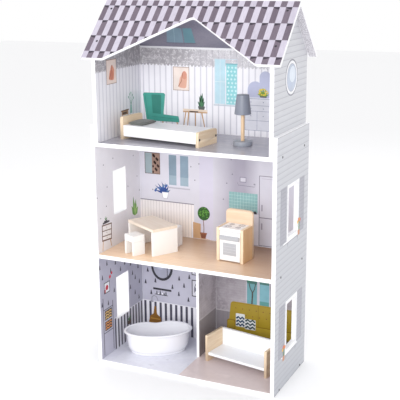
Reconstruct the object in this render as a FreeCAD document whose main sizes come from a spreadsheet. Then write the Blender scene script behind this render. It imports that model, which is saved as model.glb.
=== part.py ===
import math
import os
import re

import FreeCAD
import Part
import Sketcher

# A three-storey wooden dollhouse with its loose furniture.
# Millimetres. X runs across the front from left to right, Y from the open front to the back, Z up.
# The origin is on the ground, under the middle of the roof.

doc = FreeCAD.newDocument("Dollhouse")
sizes = doc.addObject("Spreadsheet::Sheet", "Sizes")

# Driving dimensions of the house and of every loose piece.
DRIVING = {
    # carcass
    "house_width": 600, "front": -142, "rear": 138, "back_thick": 4, "board": 12,
    "kitchen_level": 368, "attic_level": 724, "lip_top": 780,
    "divider_left": -19, "divider_thick": 9, "divider_front": 3,
    # window holes in the side panels
    "window_front": -38, "window_wide": 80, "window_high": 144, "window_sill": 102,
    # roof
    "ridge_top": 1143, "roof_thick": 9, "roof_width": 624, "roof_slope": 229,
    "cut_half": 240, "cut_peak": 64, "cut_peak_round": 15, "cut_foot_round": 20,
    # screws and dowels
    "screw_head": 8, "screw_shank": 3.5, "screw_long": 30, "head_deep": 2.6,
    "small_head": 5.5, "small_shank": 2.4, "small_long": 14, "small_deep": 1.6,
    "side_screw_front": -96, "side_screw_rear": 94, "dowel_wide": 5, "dowel_long": 18,
    "roof_screw_high": 36, "roof_screw_low": 164,
    # bed
    "bed_x": -94.5, "bed_y": -28, "bed_turn": -8, "bed_long": 287, "bed_wide": 102,
    "bed_board": 10, "head_high": 70, "foot_high": 45, "bed_round": 8,
    "rail_thick": 9, "rail_low": 10, "rail_top": 44, "rail_inset": 1.5,
    "pillow_long": 62, "pillow_wide": 80, "pillow_thick": 11, "pillow_x": -99, "pillow_y": 3,
    "soft_gap": 0.3,
    # floor lamp
    "lamp_x": 142, "lamp_y": -6, "lamp_foot": 57.5, "lamp_foot_high": 14, "post_wide": 11,
    "shade_low": 93, "shade_top": 151, "shade_wide": 50, "shade_narrow": 37, "post_plug": 8,
    "lamp_round": 1.5,
    # table and stools
    "table_x": -160, "table_y": -18, "table_turn": -30, "table_long": 148, "table_wide": 92,
    "table_high": 87, "table_thick": 9,
    "stool_long": 47, "stool_wide": 44, "stool_high": 64, "stool_seat": 20, "stool_leg": 8,
    "stool_one_x": -188, "stool_one_y": -86, "stool_one_turn": -25,
    "stool_two_x": -117.5, "stool_two_y": 39, "stool_two_turn": -2,
    # stove
    "stove_x": 120.6, "stove_y": -9.9, "stove_turn": -4.5, "stove_wide": 91, "stove_deep": 73,
    "stove_board": 10, "hob_top": 106, "splash_top": 150, "splash_round": 13,
    "shelf_low": 3, "shelf_thick": 9,
    "door_thick": 9, "door_gap": 1.2, "door_low": 2.5, "pivot_high": 9, "pin_wide": 3,
    "pin_reach": 5, "pin_bite": 10, "pin_clear": 0.05,
    "handle_wide": 66, "handle_low": 70, "handle_high": 13, "handle_proud": 7,
    # bathtub
    "tub_x": -156, "tub_y": -2, "tub_turn": 32, "tub_high": 78, "rim_long": 226, "rim_wide": 141,
    "rim_deep": 8, "waist_long": 208, "waist_wide": 125, "foot_long": 174, "foot_wide": 104,
    "bowl_long": 206, "bowl_wide": 121, "well_long": 156, "well_wide": 88, "well_level": 8,
    "rim_round": 3.4,
    # sofa
    "sofa_x": 139.4, "sofa_y": 14, "sofa_turn": -10.5, "sofa_long": 228, "sofa_deep": 93,
    "sofa_high": 87, "sofa_board": 9, "seat_top": 30, "sofa_round": 3, "seat_inset": 2,
}

for row, (alias, number) in enumerate(DRIVING.items(), start=1):
    sizes.set("A%d" % row, alias)
    sizes.set("B%d" % row, str(number))
    sizes.setAlias("B%d" % row, alias)
doc.recompute()


def from_sizes(text):
    """Turn a formula in plain dimension names into one that reads the sheet."""
    return re.sub(r"[a-z_]+", lambda found: "Sizes." + found.group(0) if found.group(0) in DRIVING
                  else found.group(0), str(text))


def value(text):
    """The present value of a formula in dimension names."""
    return float(sizes.evalExpression(from_sizes(text)))


def drive(obj, prop, text):
    obj.setExpression(prop, from_sizes(text))


def at(x, y, z, turn=0, axis=(0, 0, 1)):
    """A placement worked out from formulas, with a turn in degrees."""
    return FreeCAD.Placement(FreeCAD.Vector(value(x), value(y), value(z)),
                             FreeCAD.Rotation(FreeCAD.Vector(*axis), value(turn)))


HOUSE = at(0, 0, 0)

# ---------------------------------------------------------------------------
# Ways of making a piece


def board(name, extents, corner, where=HOUSE):
    """A plain sawn board: its length, width and height, and its low corner in its group's frame."""
    box = doc.addObject("Part::Box", name)
    box.Label = name
    for prop, text in zip(("Length", "Width", "Height"), extents):
        drive(box, prop, text)
    box.Placement = where.multiply(at(*corner))
    return box


def origin_plane(body, role):
    return [item for item in body.Origin.OriginFeatures if item.Role == role][0]


def outline(sketch, corners):
    """Add one closed outline of straight lines, each corner held to formulas."""
    first = sketch.GeometryCount
    count = len(corners)
    spots = [FreeCAD.Vector(value(across), value(up), 0) for across, up in corners]
    for here in range(count):
        sketch.addGeometry(Part.LineSegment(spots[here], spots[(here + 1) % count]), False)
    for here, (across, up) in enumerate(corners):
        line = first + here
        sketch.addConstraint(Sketcher.Constraint("Coincident", line, 2, first + (here + 1) % count, 1))
        for kind, text in (("DistanceX", across), ("DistanceY", up)):
            index = sketch.addConstraint(Sketcher.Constraint(kind, line, 1, value(text)))
            drive(sketch, "Constraints[%d]" % index, text)


def profile(body, role, outlines):
    sketch = body.newObject("Sketcher::SketchObject", body.Name + "_outline")
    sketch.AttachmentSupport = [(origin_plane(body, role), "")]
    sketch.MapMode = "FlatFace"
    for corners in outlines:
        outline(sketch, corners)
    doc.recompute()
    return sketch


def cut_board(name, role, outlines, thick, place=None):
    """A board sawn to an outline, with any further outlines as holes through it."""
    body = doc.addObject("PartDesign::Body", name)
    body.Label = name
    sketch = profile(body, role, outlines)
    pad = body.newObject("PartDesign::Pad", name + "_pad")
    pad.Profile = sketch
    pad.Reversed = role == "XZ_Plane"
    drive(pad, "Length", thick)
    doc.recompute()
    if place is not None:
        body.Placement = place
    return body


def round_over(body, radius, keep):
    """Round the edges of the body's last feature for which keep(edge) is true."""
    base = body.Tip
    names = ["Edge%d" % (n + 1) for n, edge in enumerate(base.Shape.Edges) if keep(edge)]
    before = base.Shape.Volume
    fillet = body.newObject("PartDesign::Fillet", "%s_round%d" % (body.Name, len(body.Group)))
    fillet.Base = (base, names)
    drive(fillet, "Radius", radius)
    doc.recompute()
    if abs(fillet.Shape.Volume - before) < 1e-6:
        raise RuntimeError("no edge was rounded on " + body.Label)


def stands_at(first, second, *spots):
    """A test for the edges that pass through given spots of two coordinates."""
    wanted = [(value(a), value(b)) for a, b in spots]

    def test(edge):
        ends = [(getattr(v.Point, first), getattr(v.Point, second)) for v in edge.Vertexes]
        return len(ends) == 2 and any(
            all(abs(end[0] - a) < 1e-4 and abs(end[1] - b) < 1e-4 for end in ends) for a, b in wanted)
    return test


def turned(name, corners, place):
    """A piece turned on a lathe: half of its outline, to the right of the axis, spun round Z."""
    body = doc.addObject("PartDesign::Body", name)
    body.Label = name
    sketch = profile(body, "XZ_Plane", [corners])
    turn = body.newObject("PartDesign::Revolution", name + "_turn")
    turn.Profile = sketch
    turn.ReferenceAxis = (sketch, ["V_Axis"])
    turn.Angle = 360
    doc.recompute()
    body.Placement = place
    return body


def screw(name, head, shank, reach, sunk, place):
    """A countersunk screw lying along its own -Z, with the top of its head at the placement."""
    cone = doc.addObject("Part::Cone", name + "_head")
    drive(cone, "Radius1", "%s / 2" % shank)
    drive(cone, "Radius2", "%s / 2" % head)
    drive(cone, "Height", sunk)
    cone.Placement = place.multiply(at(0, 0, "-" + sunk))
    rod = doc.addObject("Part::Cylinder", name + "_shank")
    drive(rod, "Radius", "%s / 2" % shank)
    drive(rod, "Height", "%s - %s" % (reach, sunk))
    rod.Placement = place.multiply(at(0, 0, "-" + reach))
    whole = doc.addObject("Part::Fuse", name)
    whole.Base = cone
    whole.Tool = rod
    return whole


def wood_screw(name, place):
    return screw(name, "screw_head", "screw_shank", "screw_long", "head_deep", place)


def small_screw(name, place):
    return screw(name, "small_head", "small_shank", "small_long", "small_deep", place)


def dowel(name, across, length, place):
    rod = doc.addObject("Part::Cylinder", name)
    drive(rod, "Radius", "%s / 2" % across)
    drive(rod, "Height", length)
    rod.Placement = place
    return rod


def grouped(name, pieces):
    """Several like pieces in one node, each a solid of its own."""
    group = doc.addObject("Part::Compound", name)
    group.Label = name
    group.Links = pieces
    return group


def drilled(piece, fittings):
    """The same piece with a hole for every screw, dowel or post that enters it."""
    name = piece.Label
    piece.Label = name + "_blank"
    doc.recompute()
    before = piece.Shape.Volume
    for number, fitting in enumerate(fittings):
        cut = doc.addObject("Part::Cut", "%s_drilled%d" % (name, number))
        cut.Base = piece
        cut.Tool = fitting
        piece = cut
        doc.recompute()
    if piece.Shape.Volume > before - 1:
        raise RuntimeError("nothing was drilled in " + name)
    piece.Label = name
    return piece


# ---------------------------------------------------------------------------
# Screws and dowels of the house. They are made first, because the boards are drilled with them.

LEFT_WALL = "-house_width / 2"
RIGHT_WALL = "house_width / 2"
FLOOR_LEVELS = {"base": "board / 2", "kitchen": "kitchen_level - board / 2",
                "attic": "attic_level - board / 2"}


def side_screws(side, wall, turn):
    """Two screws through a side panel into the end of each of the three floors."""
    pieces = []
    for level, height in FLOOR_LEVELS.items():
        for place in ("front", "rear"):
            name = "%s_%s_%s_screw" % (side, level, place)
            pieces.append(wood_screw(name, at(wall, "side_screw_" + place, height, turn, (0, 1, 0))))
    return grouped(side + "_side_screws", pieces)


def roof_screws(side, turn):
    """Two screws through a roof panel into the sloping edge of each gable wall."""
    down = -1 if side == "front" else 1
    pieces = []
    for hand in (-1, 1):
        for place in ("high", "low"):
            along = "roof_screw_%s * sqrt(2) / 2" % place
            pieces.append(wood_screw("%s_roof_%s_%s_screw" % (side, place, "left" if hand < 0 else "right"),
                                     at("%d * (house_width / 2 - board * 1.5)" % hand,
                                        "%d * (%s)" % (down, along),
                                        "ridge_top - (%s)" % along, turn, (1, 0, 0))))
    return grouped(side + "_roof_screws", pieces)


left_side_screws = side_screws("left", LEFT_WALL, -90)
right_side_screws = side_screws("right", RIGHT_WALL, 90)
front_roof_screws = roof_screws("front", 45)
rear_roof_screws = roof_screws("rear", -45)

back_pieces = []
for level, height in FLOOR_LEVELS.items():
    for number, across in enumerate(("-house_width / 3", "0", "house_width / 3")):
        back_pieces.append(small_screw("back_%s_screw_%d" % (level, number),
                                       at(across, "rear + back_thick", height, -90, (1, 0, 0))))
for hand in (-1, 1):
    for number, height in enumerate(("kitchen_level / 2", "(kitchen_level + attic_level) / 2")):
        back_pieces.append(small_screw("back_wall_screw_%d_%d" % (hand + 1, number),
                                       at("%d * (house_width - board) / 2" % hand,
                                          "rear + back_thick", height, -90, (1, 0, 0))))
    for number, height in enumerate(("attic_level + 90", "attic_level + 210")):
        back_pieces.append(small_screw("back_gable_screw_%d_%d" % (hand + 1, number),
                                       at("%d * (house_width / 2 - board * 1.5)" % hand,
                                          "rear + back_thick", height, -90, (1, 0, 0))))
back_panel_screws = grouped("back_panel_screws", back_pieces)

divider_dowels = grouped("divider_dowels", [
    dowel("divider_dowel_%d_%d" % (row, column), "dowel_wide", "dowel_long",
          at("divider_left + divider_thick / 2", along, low + " - dowel_long / 2"))
    for row, low in enumerate(("board", "kitchen_level - board"))
    for column, along in enumerate(("divider_front + 30", "rear - 30"))])

gable_dowels = grouped("gable_dowels", [
    dowel("gable_dowel_%d_%d" % (hand + 1, column), "dowel_wide", "dowel_long",
          at("%d * (house_width / 2 - board * 1.5)" % hand, along, "attic_level - dowel_long / 2"))
    for hand in (-1, 1)
    for column, along in enumerate(("front + 60", "rear - 60"))])
doc.recompute()

# ---------------------------------------------------------------------------
# House: base, two floors, side panels, divider and the two back panels


def side_panel(name, inner_x):
    """One board two storeys high, with a window on each storey and a low lip round the attic."""
    outlines = [[("front", 0), ("rear", 0), ("rear", "lip_top"), ("front", "lip_top")]]
    for storey in ("board", "kitchen_level"):
        low = storey + " + window_sill"
        high = low + " + window_high"
        outlines.append([("window_front", low), ("window_front + window_wide", low),
                         ("window_front + window_wide", high), ("window_front", high)])
    return cut_board(name, "YZ_Plane", outlines, "board", at(inner_x, 0, 0))


INSIDE = "house_width - 2 * board"
INSIDE_LEFT = "-house_width / 2 + board"
DEPTH = "rear - front"

left_side_panel = drilled(side_panel("left_side_panel", LEFT_WALL),
                          [left_side_screws, back_panel_screws])
right_side_panel = drilled(side_panel("right_side_panel", "house_width / 2 - board"),
                           [right_side_screws, back_panel_screws])
base_panel = drilled(board("base_panel", (INSIDE, DEPTH, "board"), (INSIDE_LEFT, "front", 0)),
                     [left_side_screws, right_side_screws, back_panel_screws, divider_dowels])
kitchen_floor = drilled(board("kitchen_floor", (INSIDE, DEPTH, "board"),
                              (INSIDE_LEFT, "front", "kitchen_level - board")),
                        [left_side_screws, right_side_screws, back_panel_screws, divider_dowels])
attic_floor = drilled(board("attic_floor", (INSIDE, DEPTH, "board"),
                            (INSIDE_LEFT, "front", "attic_level - board")),
                      [left_side_screws, right_side_screws, back_panel_screws, gable_dowels])
room_divider = drilled(board("room_divider", ("divider_thick", "rear - divider_front",
                                              "kitchen_level - 2 * board"),
                             ("divider_left", "divider_front", "board")), [divider_dowels])
lower_back_panel = drilled(board("lower_back_panel", ("house_width", "back_thick",
                                                      "attic_level - board / 2"),
                                 (LEFT_WALL, "rear", 0)), [back_panel_screws])

# The attic's back panel has a shoulder behind each side panel's lip, and then fits the gable walls.
# Both back panels share the attic floor's rear edge, so the seam and its screws sit on that board.
UNDER_RIDGE = "ridge_top - roof_thick * sqrt(2)"
BACK_TOP = UNDER_RIDGE + " - rear - back_thick"
NARROW = "house_width / 2 - board"
attic_back_panel = drilled(cut_board(
    "attic_back_panel", "XZ_Plane",
    [[(LEFT_WALL, "attic_level - board / 2"), (RIGHT_WALL, "attic_level - board / 2"),
      (RIGHT_WALL, "lip_top"), (NARROW, "lip_top"), (NARROW, BACK_TOP),
      ("-(%s)" % NARROW, BACK_TOP), ("-(%s)" % NARROW, "lip_top"), (LEFT_WALL, "lip_top")]],
    "back_thick", at(0, "rear", 0)), [back_panel_screws])

# ---------------------------------------------------------------------------
# Gable walls and roof


def gable_wall(name, inner_x):
    """A pentagon that stands on the attic floor inside the lip and carries both roof slopes."""
    corners = [("front", "attic_level"), ("rear", "attic_level"), ("rear", UNDER_RIDGE + " - rear"),
               (0, UNDER_RIDGE), ("front", UNDER_RIDGE + " + front")]
    return cut_board(name, "YZ_Plane", [corners], "board", at(inner_x, 0, 0))


gable_fittings = [front_roof_screws, rear_roof_screws, gable_dowels, back_panel_screws]
left_gable_wall = drilled(gable_wall("left_gable_wall", INSIDE_LEFT), gable_fittings)
right_gable_wall = drilled(gable_wall("right_gable_wall", "house_width / 2 - 2 * board"), gable_fittings)

# The front roof panel runs up to the ridge. Its sketch lies on the outside face, with Y down the slope.
HALF_ROOF = "roof_width / 2"
PEAK = (0, "cut_peak")
CUT_FEET = (("-cut_half", "roof_slope"), ("cut_half", "roof_slope"))
front_roof = cut_board(
    "front_roof_panel", "XY_Plane",
    [[("-" + HALF_ROOF, 0), (HALF_ROOF, 0), (HALF_ROOF, "roof_slope"), CUT_FEET[1], PEAK,
      CUT_FEET[0], ("-" + HALF_ROOF, "roof_slope")]],
    "roof_thick", at(0, 0, "ridge_top", -135, (1, 0, 0)))
round_over(front_roof, "cut_peak_round", stands_at("x", "y", PEAK))
round_over(front_roof, "cut_foot_round", stands_at("x", "y", *CUT_FEET))
front_roof_panel = drilled(front_roof, [front_roof_screws])

# The rear roof panel butts against the front one under the ridge.
rear_roof = board("rear_roof_panel", ("roof_width", "roof_slope - roof_thick", "roof_thick"), (0, 0, 0),
                  at("-" + HALF_ROOF, 0, UNDER_RIDGE, -45, (1, 0, 0)))
rear_roof_panel = drilled(rear_roof, [rear_roof_screws])

# ---------------------------------------------------------------------------
# Bed: two birch end boards, two white rails and the mattress board between them

BED = at("bed_x", "bed_y", "attic_level", "bed_turn")
BED_END = "bed_long / 2"
bed_screws = grouped("bed_screws", [
    wood_screw("bed_screw_%d_%d" % (end + 1, hand + 1),
               BED.multiply(at("%d * bed_long / 2" % end,
                               "%d * (bed_wide / 2 - rail_inset - rail_thick / 2)" % hand,
                               "(rail_low + rail_top) / 2 - 4", 90 * end, (0, 1, 0))))
    for end in (-1, 1) for hand in (-1, 1)])


def bed_end(name, height, low_x):
    half = "bed_wide / 2"
    panel = cut_board(name, "YZ_Plane",
                      [[("-" + half, 0), (half, 0), (half, height), ("-" + half, height)]],
                      "bed_board", BED.multiply(at(low_x, 0, 0)))
    round_over(panel, "bed_round", stands_at("y", "z", ("-" + half, height), (half, height)))
    return drilled(panel, [bed_screws])


def bed_rail(name, low_y):
    return drilled(board(name, ("bed_long - 2 * bed_board", "rail_thick", "rail_top - rail_low"),
                         ("-bed_long / 2 + bed_board", low_y, "rail_low"), BED), [bed_screws])


bed_headboard = bed_end("bed_headboard", "head_high", "-" + BED_END)
bed_footboard = bed_end("bed_footboard", "foot_high", BED_END + " - bed_board")
bed_front_rail = bed_rail("bed_front_rail", "-bed_wide / 2 + rail_inset")
bed_rear_rail = bed_rail("bed_rear_rail", "bed_wide / 2 - rail_inset - rail_thick")
mattress_board = board("mattress_board", ("bed_long - 2 * bed_board",
                                          "bed_wide - 2 * (rail_inset + rail_thick)", "rail_thick"),
                       ("-bed_long / 2 + bed_board", "-bed_wide / 2 + rail_inset + rail_thick",
                        "rail_top - rail_thick"), BED)
bed_pillow = cut_board("bed_pillow", "XY_Plane",
                       [[("-pillow_long / 2", "-pillow_wide / 2"), ("pillow_long / 2", "-pillow_wide / 2"),
                         ("pillow_long / 2", "pillow_wide / 2"), ("-pillow_long / 2", "pillow_wide / 2")]],
                       "pillow_thick", BED.multiply(at("pillow_x", "pillow_y", "rail_top + soft_gap")))
round_over(bed_pillow, "bed_round", lambda edge: abs(edge.Vertexes[0].Z - edge.Vertexes[-1].Z) > 1)
round_over(bed_pillow, "pillow_thick / 2 - 1", lambda edge: abs(
    edge.Vertexes[0].Z - edge.Vertexes[-1].Z) < 1e-6)

# ---------------------------------------------------------------------------
# Floor lamp: a turned foot, a dowel post and a turned shade that is plugged onto the post

LAMP = at("lamp_x", "lamp_y", "attic_level")
post_low = "lamp_foot_high - post_plug"
lamp_post = dowel("lamp_post", "post_wide", "shade_low + 3 * post_plug - (%s)" % post_low,
                  LAMP.multiply(at(0, 0, post_low)))
foot = turned("lamp_base", [(0, 0), ("lamp_foot / 2", 0), ("lamp_foot / 2", "lamp_foot_high"),
                            (0, "lamp_foot_high")], LAMP)
round_over(foot, "lamp_round", lambda edge: edge.BoundBox.XLength > value("lamp_foot") - 1)
lamp_base = drilled(foot, [lamp_post])
shade = turned("lamp_shade", [(0, "shade_low"), ("shade_wide / 2", "shade_low"),
                              ("shade_narrow / 2", "shade_top"), (0, "shade_top")], LAMP)
round_over(shade, "lamp_round", lambda edge: edge.BoundBox.XLength > value("shade_narrow") - 1
           and edge.BoundBox.ZLength < 1)
lamp_shade = drilled(shade, [lamp_post])

# ---------------------------------------------------------------------------
# Table and two stools: each a top on two upright end boards


def table(name, long, wide, high, top, end, where):
    board(name[0], (long, wide, top), ("-%s / 2" % long, "-%s / 2" % wide, "%s - %s" % (high, top)), where)
    leg = (end, wide, "%s - %s" % (high, top))
    board(name[1], leg, ("-%s / 2" % long, "-%s / 2" % wide, 0), where)
    board(name[2], leg, ("%s / 2 - %s" % (long, end), "-%s / 2" % wide, 0), where)


table(("table_top", "table_left_end", "table_right_end"), "table_long", "table_wide", "table_high",
      "table_thick", "table_thick", at("table_x", "table_y", "kitchen_level", "table_turn"))
for stool in ("one", "two"):
    key = "stool_" + stool
    table((key + "_seat", key + "_left_leg", key + "_right_leg"), "stool_long", "stool_wide",
          "stool_high", "stool_seat", "stool_leg",
          at(key + "_x", key + "_y", "kitchen_level", key + "_turn"))

# ---------------------------------------------------------------------------
# Stove: birch sides and splash back, white hob and shelf, and an oven door on two steel pins

STOVE = at("stove_x", "stove_y", "kitchen_level", "stove_turn")
STOVE_FRONT = "-stove_deep / 2"
STOVE_INNER = "stove_wide / 2 - stove_board"
BODY_DEEP = "stove_deep - stove_board"
PIVOT_Y = STOVE_FRONT + " + door_thick / 2"

pin_holes = grouped("pin_holes", [
    dowel("pin_hole_%d" % hand, "(pin_wide + 2 * pin_clear)", "(pin_reach + 1)", STOVE.multiply(
        at("%d * (%s)" % (hand, STOVE_INNER), PIVOT_Y, "pivot_high", 90 * hand, (0, 1, 0))))
    for hand in (-1, 1)])


def stove_side(name, low_x):
    side = board(name, ("stove_board", BODY_DEEP, "hob_top"), (low_x, STOVE_FRONT, 0), STOVE)
    return drilled(side, [pin_holes])


stove_left_side = stove_side("stove_left_side", "-stove_wide / 2")
stove_right_side = stove_side("stove_right_side", STOVE_INNER)
splash_half = "stove_wide / 2"
splash = cut_board("stove_splash_back", "XZ_Plane",
                   [[("-" + splash_half, 0), (splash_half, 0), (splash_half, "splash_top"),
                     ("-" + splash_half, "splash_top")]], "stove_board",
                   STOVE.multiply(at(0, "stove_deep / 2 - stove_board", 0)))
round_over(splash, "splash_round", stands_at("x", "z", ("-" + splash_half, "splash_top"),
                                             (splash_half, "splash_top")))
stove_hob = board("stove_hob", ("2 * (%s)" % STOVE_INNER, BODY_DEEP, "stove_board"),
                  ("-(%s)" % STOVE_INNER, STOVE_FRONT, "hob_top - stove_board"), STOVE)
stove_shelf = board("stove_shelf", ("2 * (%s)" % STOVE_INNER, BODY_DEEP + " - door_thick - 2 * door_gap",
                                    "shelf_thick"),
                    ("-(%s)" % STOVE_INNER, STOVE_FRONT + " + door_thick + 2 * door_gap", "shelf_low"), STOVE)

door_half = "(%s) - door_gap" % STOVE_INNER
oven_hinge_pins = grouped("oven_hinge_pins", [
    dowel("oven_hinge_pin_%d" % hand, "pin_wide", "(pin_reach + pin_bite)", STOVE.multiply(
        at("%d * (%s - pin_bite)" % (hand, door_half), PIVOT_Y, "pivot_high", 90 * hand, (0, 1, 0))))
    for hand in (-1, 1)])
oven_door = cut_board("oven_door", "YZ_Plane",
                      [[(STOVE_FRONT, "door_low"), (STOVE_FRONT + " + door_thick", "door_low"),
                        (STOVE_FRONT + " + door_thick", "hob_top - stove_board - door_gap"),
                        (STOVE_FRONT, "hob_top - stove_board - door_gap")]],
                      "2 * (%s)" % door_half, STOVE.multiply(at("-(%s)" % door_half, 0, 0)))
round_over(oven_door, "door_thick / 2 - 0.5", lambda edge: all(
    abs(v.Z - value("door_low")) < 1e-4 for v in edge.Vertexes) and edge.BoundBox.XLength > 20)
oven_door = drilled(oven_door, [oven_hinge_pins])
oven_handle = board("oven_handle", ("handle_wide", "handle_proud", "handle_high"),
                    ("-handle_wide / 2", STOVE_FRONT + " - handle_proud", "handle_low"), STOVE)

# ---------------------------------------------------------------------------
# Bathtub: one oval shell, wider at the rim than at the foot, with a rolled rim

TUB = at("tub_x", "tub_y", "board", "tub_turn")


def oval(name, long, wide, level):
    ellipse = doc.addObject("Part::Ellipse", name)
    drive(ellipse, "MajorRadius", long + " / 2")
    drive(ellipse, "MinorRadius", wide + " / 2")
    ellipse.Placement = TUB.multiply(at(0, 0, level))
    return ellipse


def between(name, low, high):
    loft = doc.addObject("Part::Loft", name)
    loft.Sections = [low, high]
    loft.Solid = True
    return loft


rim_low = "tub_high - rim_deep"
tub_wall = between("tub_wall", oval("tub_foot", "foot_long", "foot_wide", 0),
                   oval("tub_waist", "waist_long", "waist_wide", "tub_high - 1"))
tub_rim = between("tub_rim", oval("tub_rim_low", "rim_long", "rim_wide", rim_low),
                  oval("tub_rim_high", "rim_long", "rim_wide", "tub_high"))
tub_bowl = between("tub_bowl", oval("tub_well", "well_long", "well_wide", "well_level"),
                   oval("tub_mouth", "bowl_long", "bowl_wide", "tub_high"))
tub_solid = doc.addObject("Part::Fuse", "tub_solid")
tub_solid.Base = tub_wall
tub_solid.Tool = tub_rim
tub_shell = doc.addObject("Part::Cut", "tub_shell")
tub_shell.Base = tub_solid
tub_shell.Tool = tub_bowl
doc.recompute()
bathtub = doc.addObject("Part::Fillet", "bathtub")
bathtub.Label = "bathtub"
bathtub.Base = tub_shell
rim_round = value("rim_round")
rim_run = math.pi * value("rim_long + rim_wide") / 2
bathtub.Edges = [(n + 1, rim_round, rim_round) for n, edge in enumerate(tub_shell.Shape.Edges)
                 if edge.Length > rim_run]
doc.recompute()

# ---------------------------------------------------------------------------
# Sofa: birch arms, white seat and back, screwed through the arms

SOFA = at("sofa_x", "sofa_y", "board", "sofa_turn")
SOFA_SPAN = "sofa_long - 2 * sofa_board"
sofa_spots = [("-sofa_deep / 4", "seat_top - sofa_board / 2"), ("sofa_deep / 5", "seat_top - sofa_board / 2"),
              ("(sofa_deep - sofa_board) / 2", "sofa_high * 0.7")]
sofa_screws = grouped("sofa_screws", [
    wood_screw("sofa_screw_%d_%d" % (hand + 1, number),
               SOFA.multiply(at("%d * sofa_long / 2" % hand, along, up, 90 * hand, (0, 1, 0))))
    for hand in (-1, 1) for number, (along, up) in enumerate(sofa_spots)])


def sofa_arm(name, low_x):
    half = "sofa_deep / 2"
    arm = cut_board(name, "YZ_Plane",
                    [[("-" + half, 0), (half, 0), (half, "sofa_high"), ("-" + half, "sofa_high")]],
                    "sofa_board", SOFA.multiply(at(low_x, 0, 0)))
    round_over(arm, "sofa_round", stands_at("y", "z", ("-" + half, "sofa_high"), (half, "sofa_high")))
    return drilled(arm, [sofa_screws])


sofa_left_arm = sofa_arm("sofa_left_arm", "-sofa_long / 2")
sofa_right_arm = sofa_arm("sofa_right_arm", "sofa_long / 2 - sofa_board")
sofa_seat = drilled(board("sofa_seat", (SOFA_SPAN, "sofa_deep - sofa_board - seat_inset", "sofa_board"),
                          ("-sofa_long / 2 + sofa_board", "-sofa_deep / 2 + seat_inset",
                           "seat_top - sofa_board"), SOFA), [sofa_screws])
sofa_back = drilled(board("sofa_back", (SOFA_SPAN, "sofa_board", "sofa_high - seat_top / 3"),
                          ("-sofa_long / 2 + sofa_board", "sofa_deep / 2 - sofa_board", "seat_top / 3"),
                          SOFA), [sofa_screws])

# ---------------------------------------------------------------------------
# Check every object and write one file for each piece

NODES = """
base_panel left_side_panel right_side_panel kitchen_floor attic_floor room_divider lower_back_panel
attic_back_panel left_gable_wall right_gable_wall front_roof_panel rear_roof_panel left_side_screws
right_side_screws front_roof_screws rear_roof_screws back_panel_screws divider_dowels gable_dowels
bed_headboard bed_footboard bed_front_rail bed_rear_rail mattress_board bed_screws bed_pillow
lamp_base lamp_post lamp_shade table_top table_left_end table_right_end
stool_one_seat stool_one_left_leg stool_one_right_leg stool_two_seat stool_two_left_leg
stool_two_right_leg stove_left_side stove_right_side stove_splash_back stove_hob stove_shelf
oven_door oven_handle oven_hinge_pins bathtub sofa_left_arm sofa_right_arm sofa_seat sofa_back
sofa_screws
""".split()

doc.recompute()
for obj in doc.Objects:
    if "Invalid" in obj.State or "Error" in obj.State:
        raise RuntimeError("%s did not compute: %s" % (obj.Label, obj.State))

os.makedirs("parts", exist_ok=True)
for name in NODES:
    piece = doc.getObjectsByLabel(name)[0]
    shape = piece.Shape
    if shape.isNull() or not shape.isValid():
        raise RuntimeError("%s has no valid shape" % name)
    shape.exportStep(os.path.join("parts", name + ".step"))
print("%d pieces written" % len(NODES))
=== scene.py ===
import math
import random

import bmesh
import bpy
import numpy as np
from mathutils import Matrix, Vector, geometry


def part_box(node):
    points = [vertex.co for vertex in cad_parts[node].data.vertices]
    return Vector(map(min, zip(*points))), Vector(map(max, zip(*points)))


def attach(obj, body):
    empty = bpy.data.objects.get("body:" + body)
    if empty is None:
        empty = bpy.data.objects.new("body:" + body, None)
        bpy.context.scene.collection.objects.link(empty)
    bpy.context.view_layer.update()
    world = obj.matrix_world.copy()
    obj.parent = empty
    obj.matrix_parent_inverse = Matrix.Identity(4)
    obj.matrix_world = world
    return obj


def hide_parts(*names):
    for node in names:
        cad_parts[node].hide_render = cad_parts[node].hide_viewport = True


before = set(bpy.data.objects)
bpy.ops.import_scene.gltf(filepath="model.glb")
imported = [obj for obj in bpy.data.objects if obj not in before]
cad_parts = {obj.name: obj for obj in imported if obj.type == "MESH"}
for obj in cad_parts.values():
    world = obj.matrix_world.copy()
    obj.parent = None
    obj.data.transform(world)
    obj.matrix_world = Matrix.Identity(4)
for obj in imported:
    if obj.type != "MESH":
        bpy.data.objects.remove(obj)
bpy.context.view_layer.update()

# Studio -----------------------------------------------------------------------------------------
# The house stands on a plain white floor that runs into a white surround. A broad soft light in
# front and weaker ones at the sides and behind light the open rooms evenly, as on a catalogue table.
scene = bpy.context.scene
scene.view_settings.view_transform = "Standard"

camera = bpy.data.objects.new("camera", bpy.data.cameras.new("camera"))
scene.collection.objects.link(camera)
scene.camera = camera
camera.data.sensor_width = 36
camera.data.lens = 80.12
camera.data.shift_x = 0.0207
camera.data.shift_y = -0.0150
camera_yaw, camera_pitch, camera_roll = math.radians(25.58), math.radians(14.17), math.radians(-0.55)
backwards = Vector((math.sin(camera_yaw) * math.cos(camera_pitch),
                    -math.cos(camera_yaw) * math.cos(camera_pitch), math.sin(camera_pitch)))
level_right = (-backwards).cross(Vector((0, 0, 1))).normalized()
level_up = level_right.cross(-backwards)
camera_right = level_right * math.cos(camera_roll) + level_up * math.sin(camera_roll)
camera_up = level_up * math.cos(camera_roll) - level_right * math.sin(camera_roll)
turn = Matrix((camera_right, camera_up, backwards)).transposed().to_4x4()
camera.matrix_world = Matrix.Translation((1.12416, -2.41082, 1.23132)) @ turn


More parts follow.
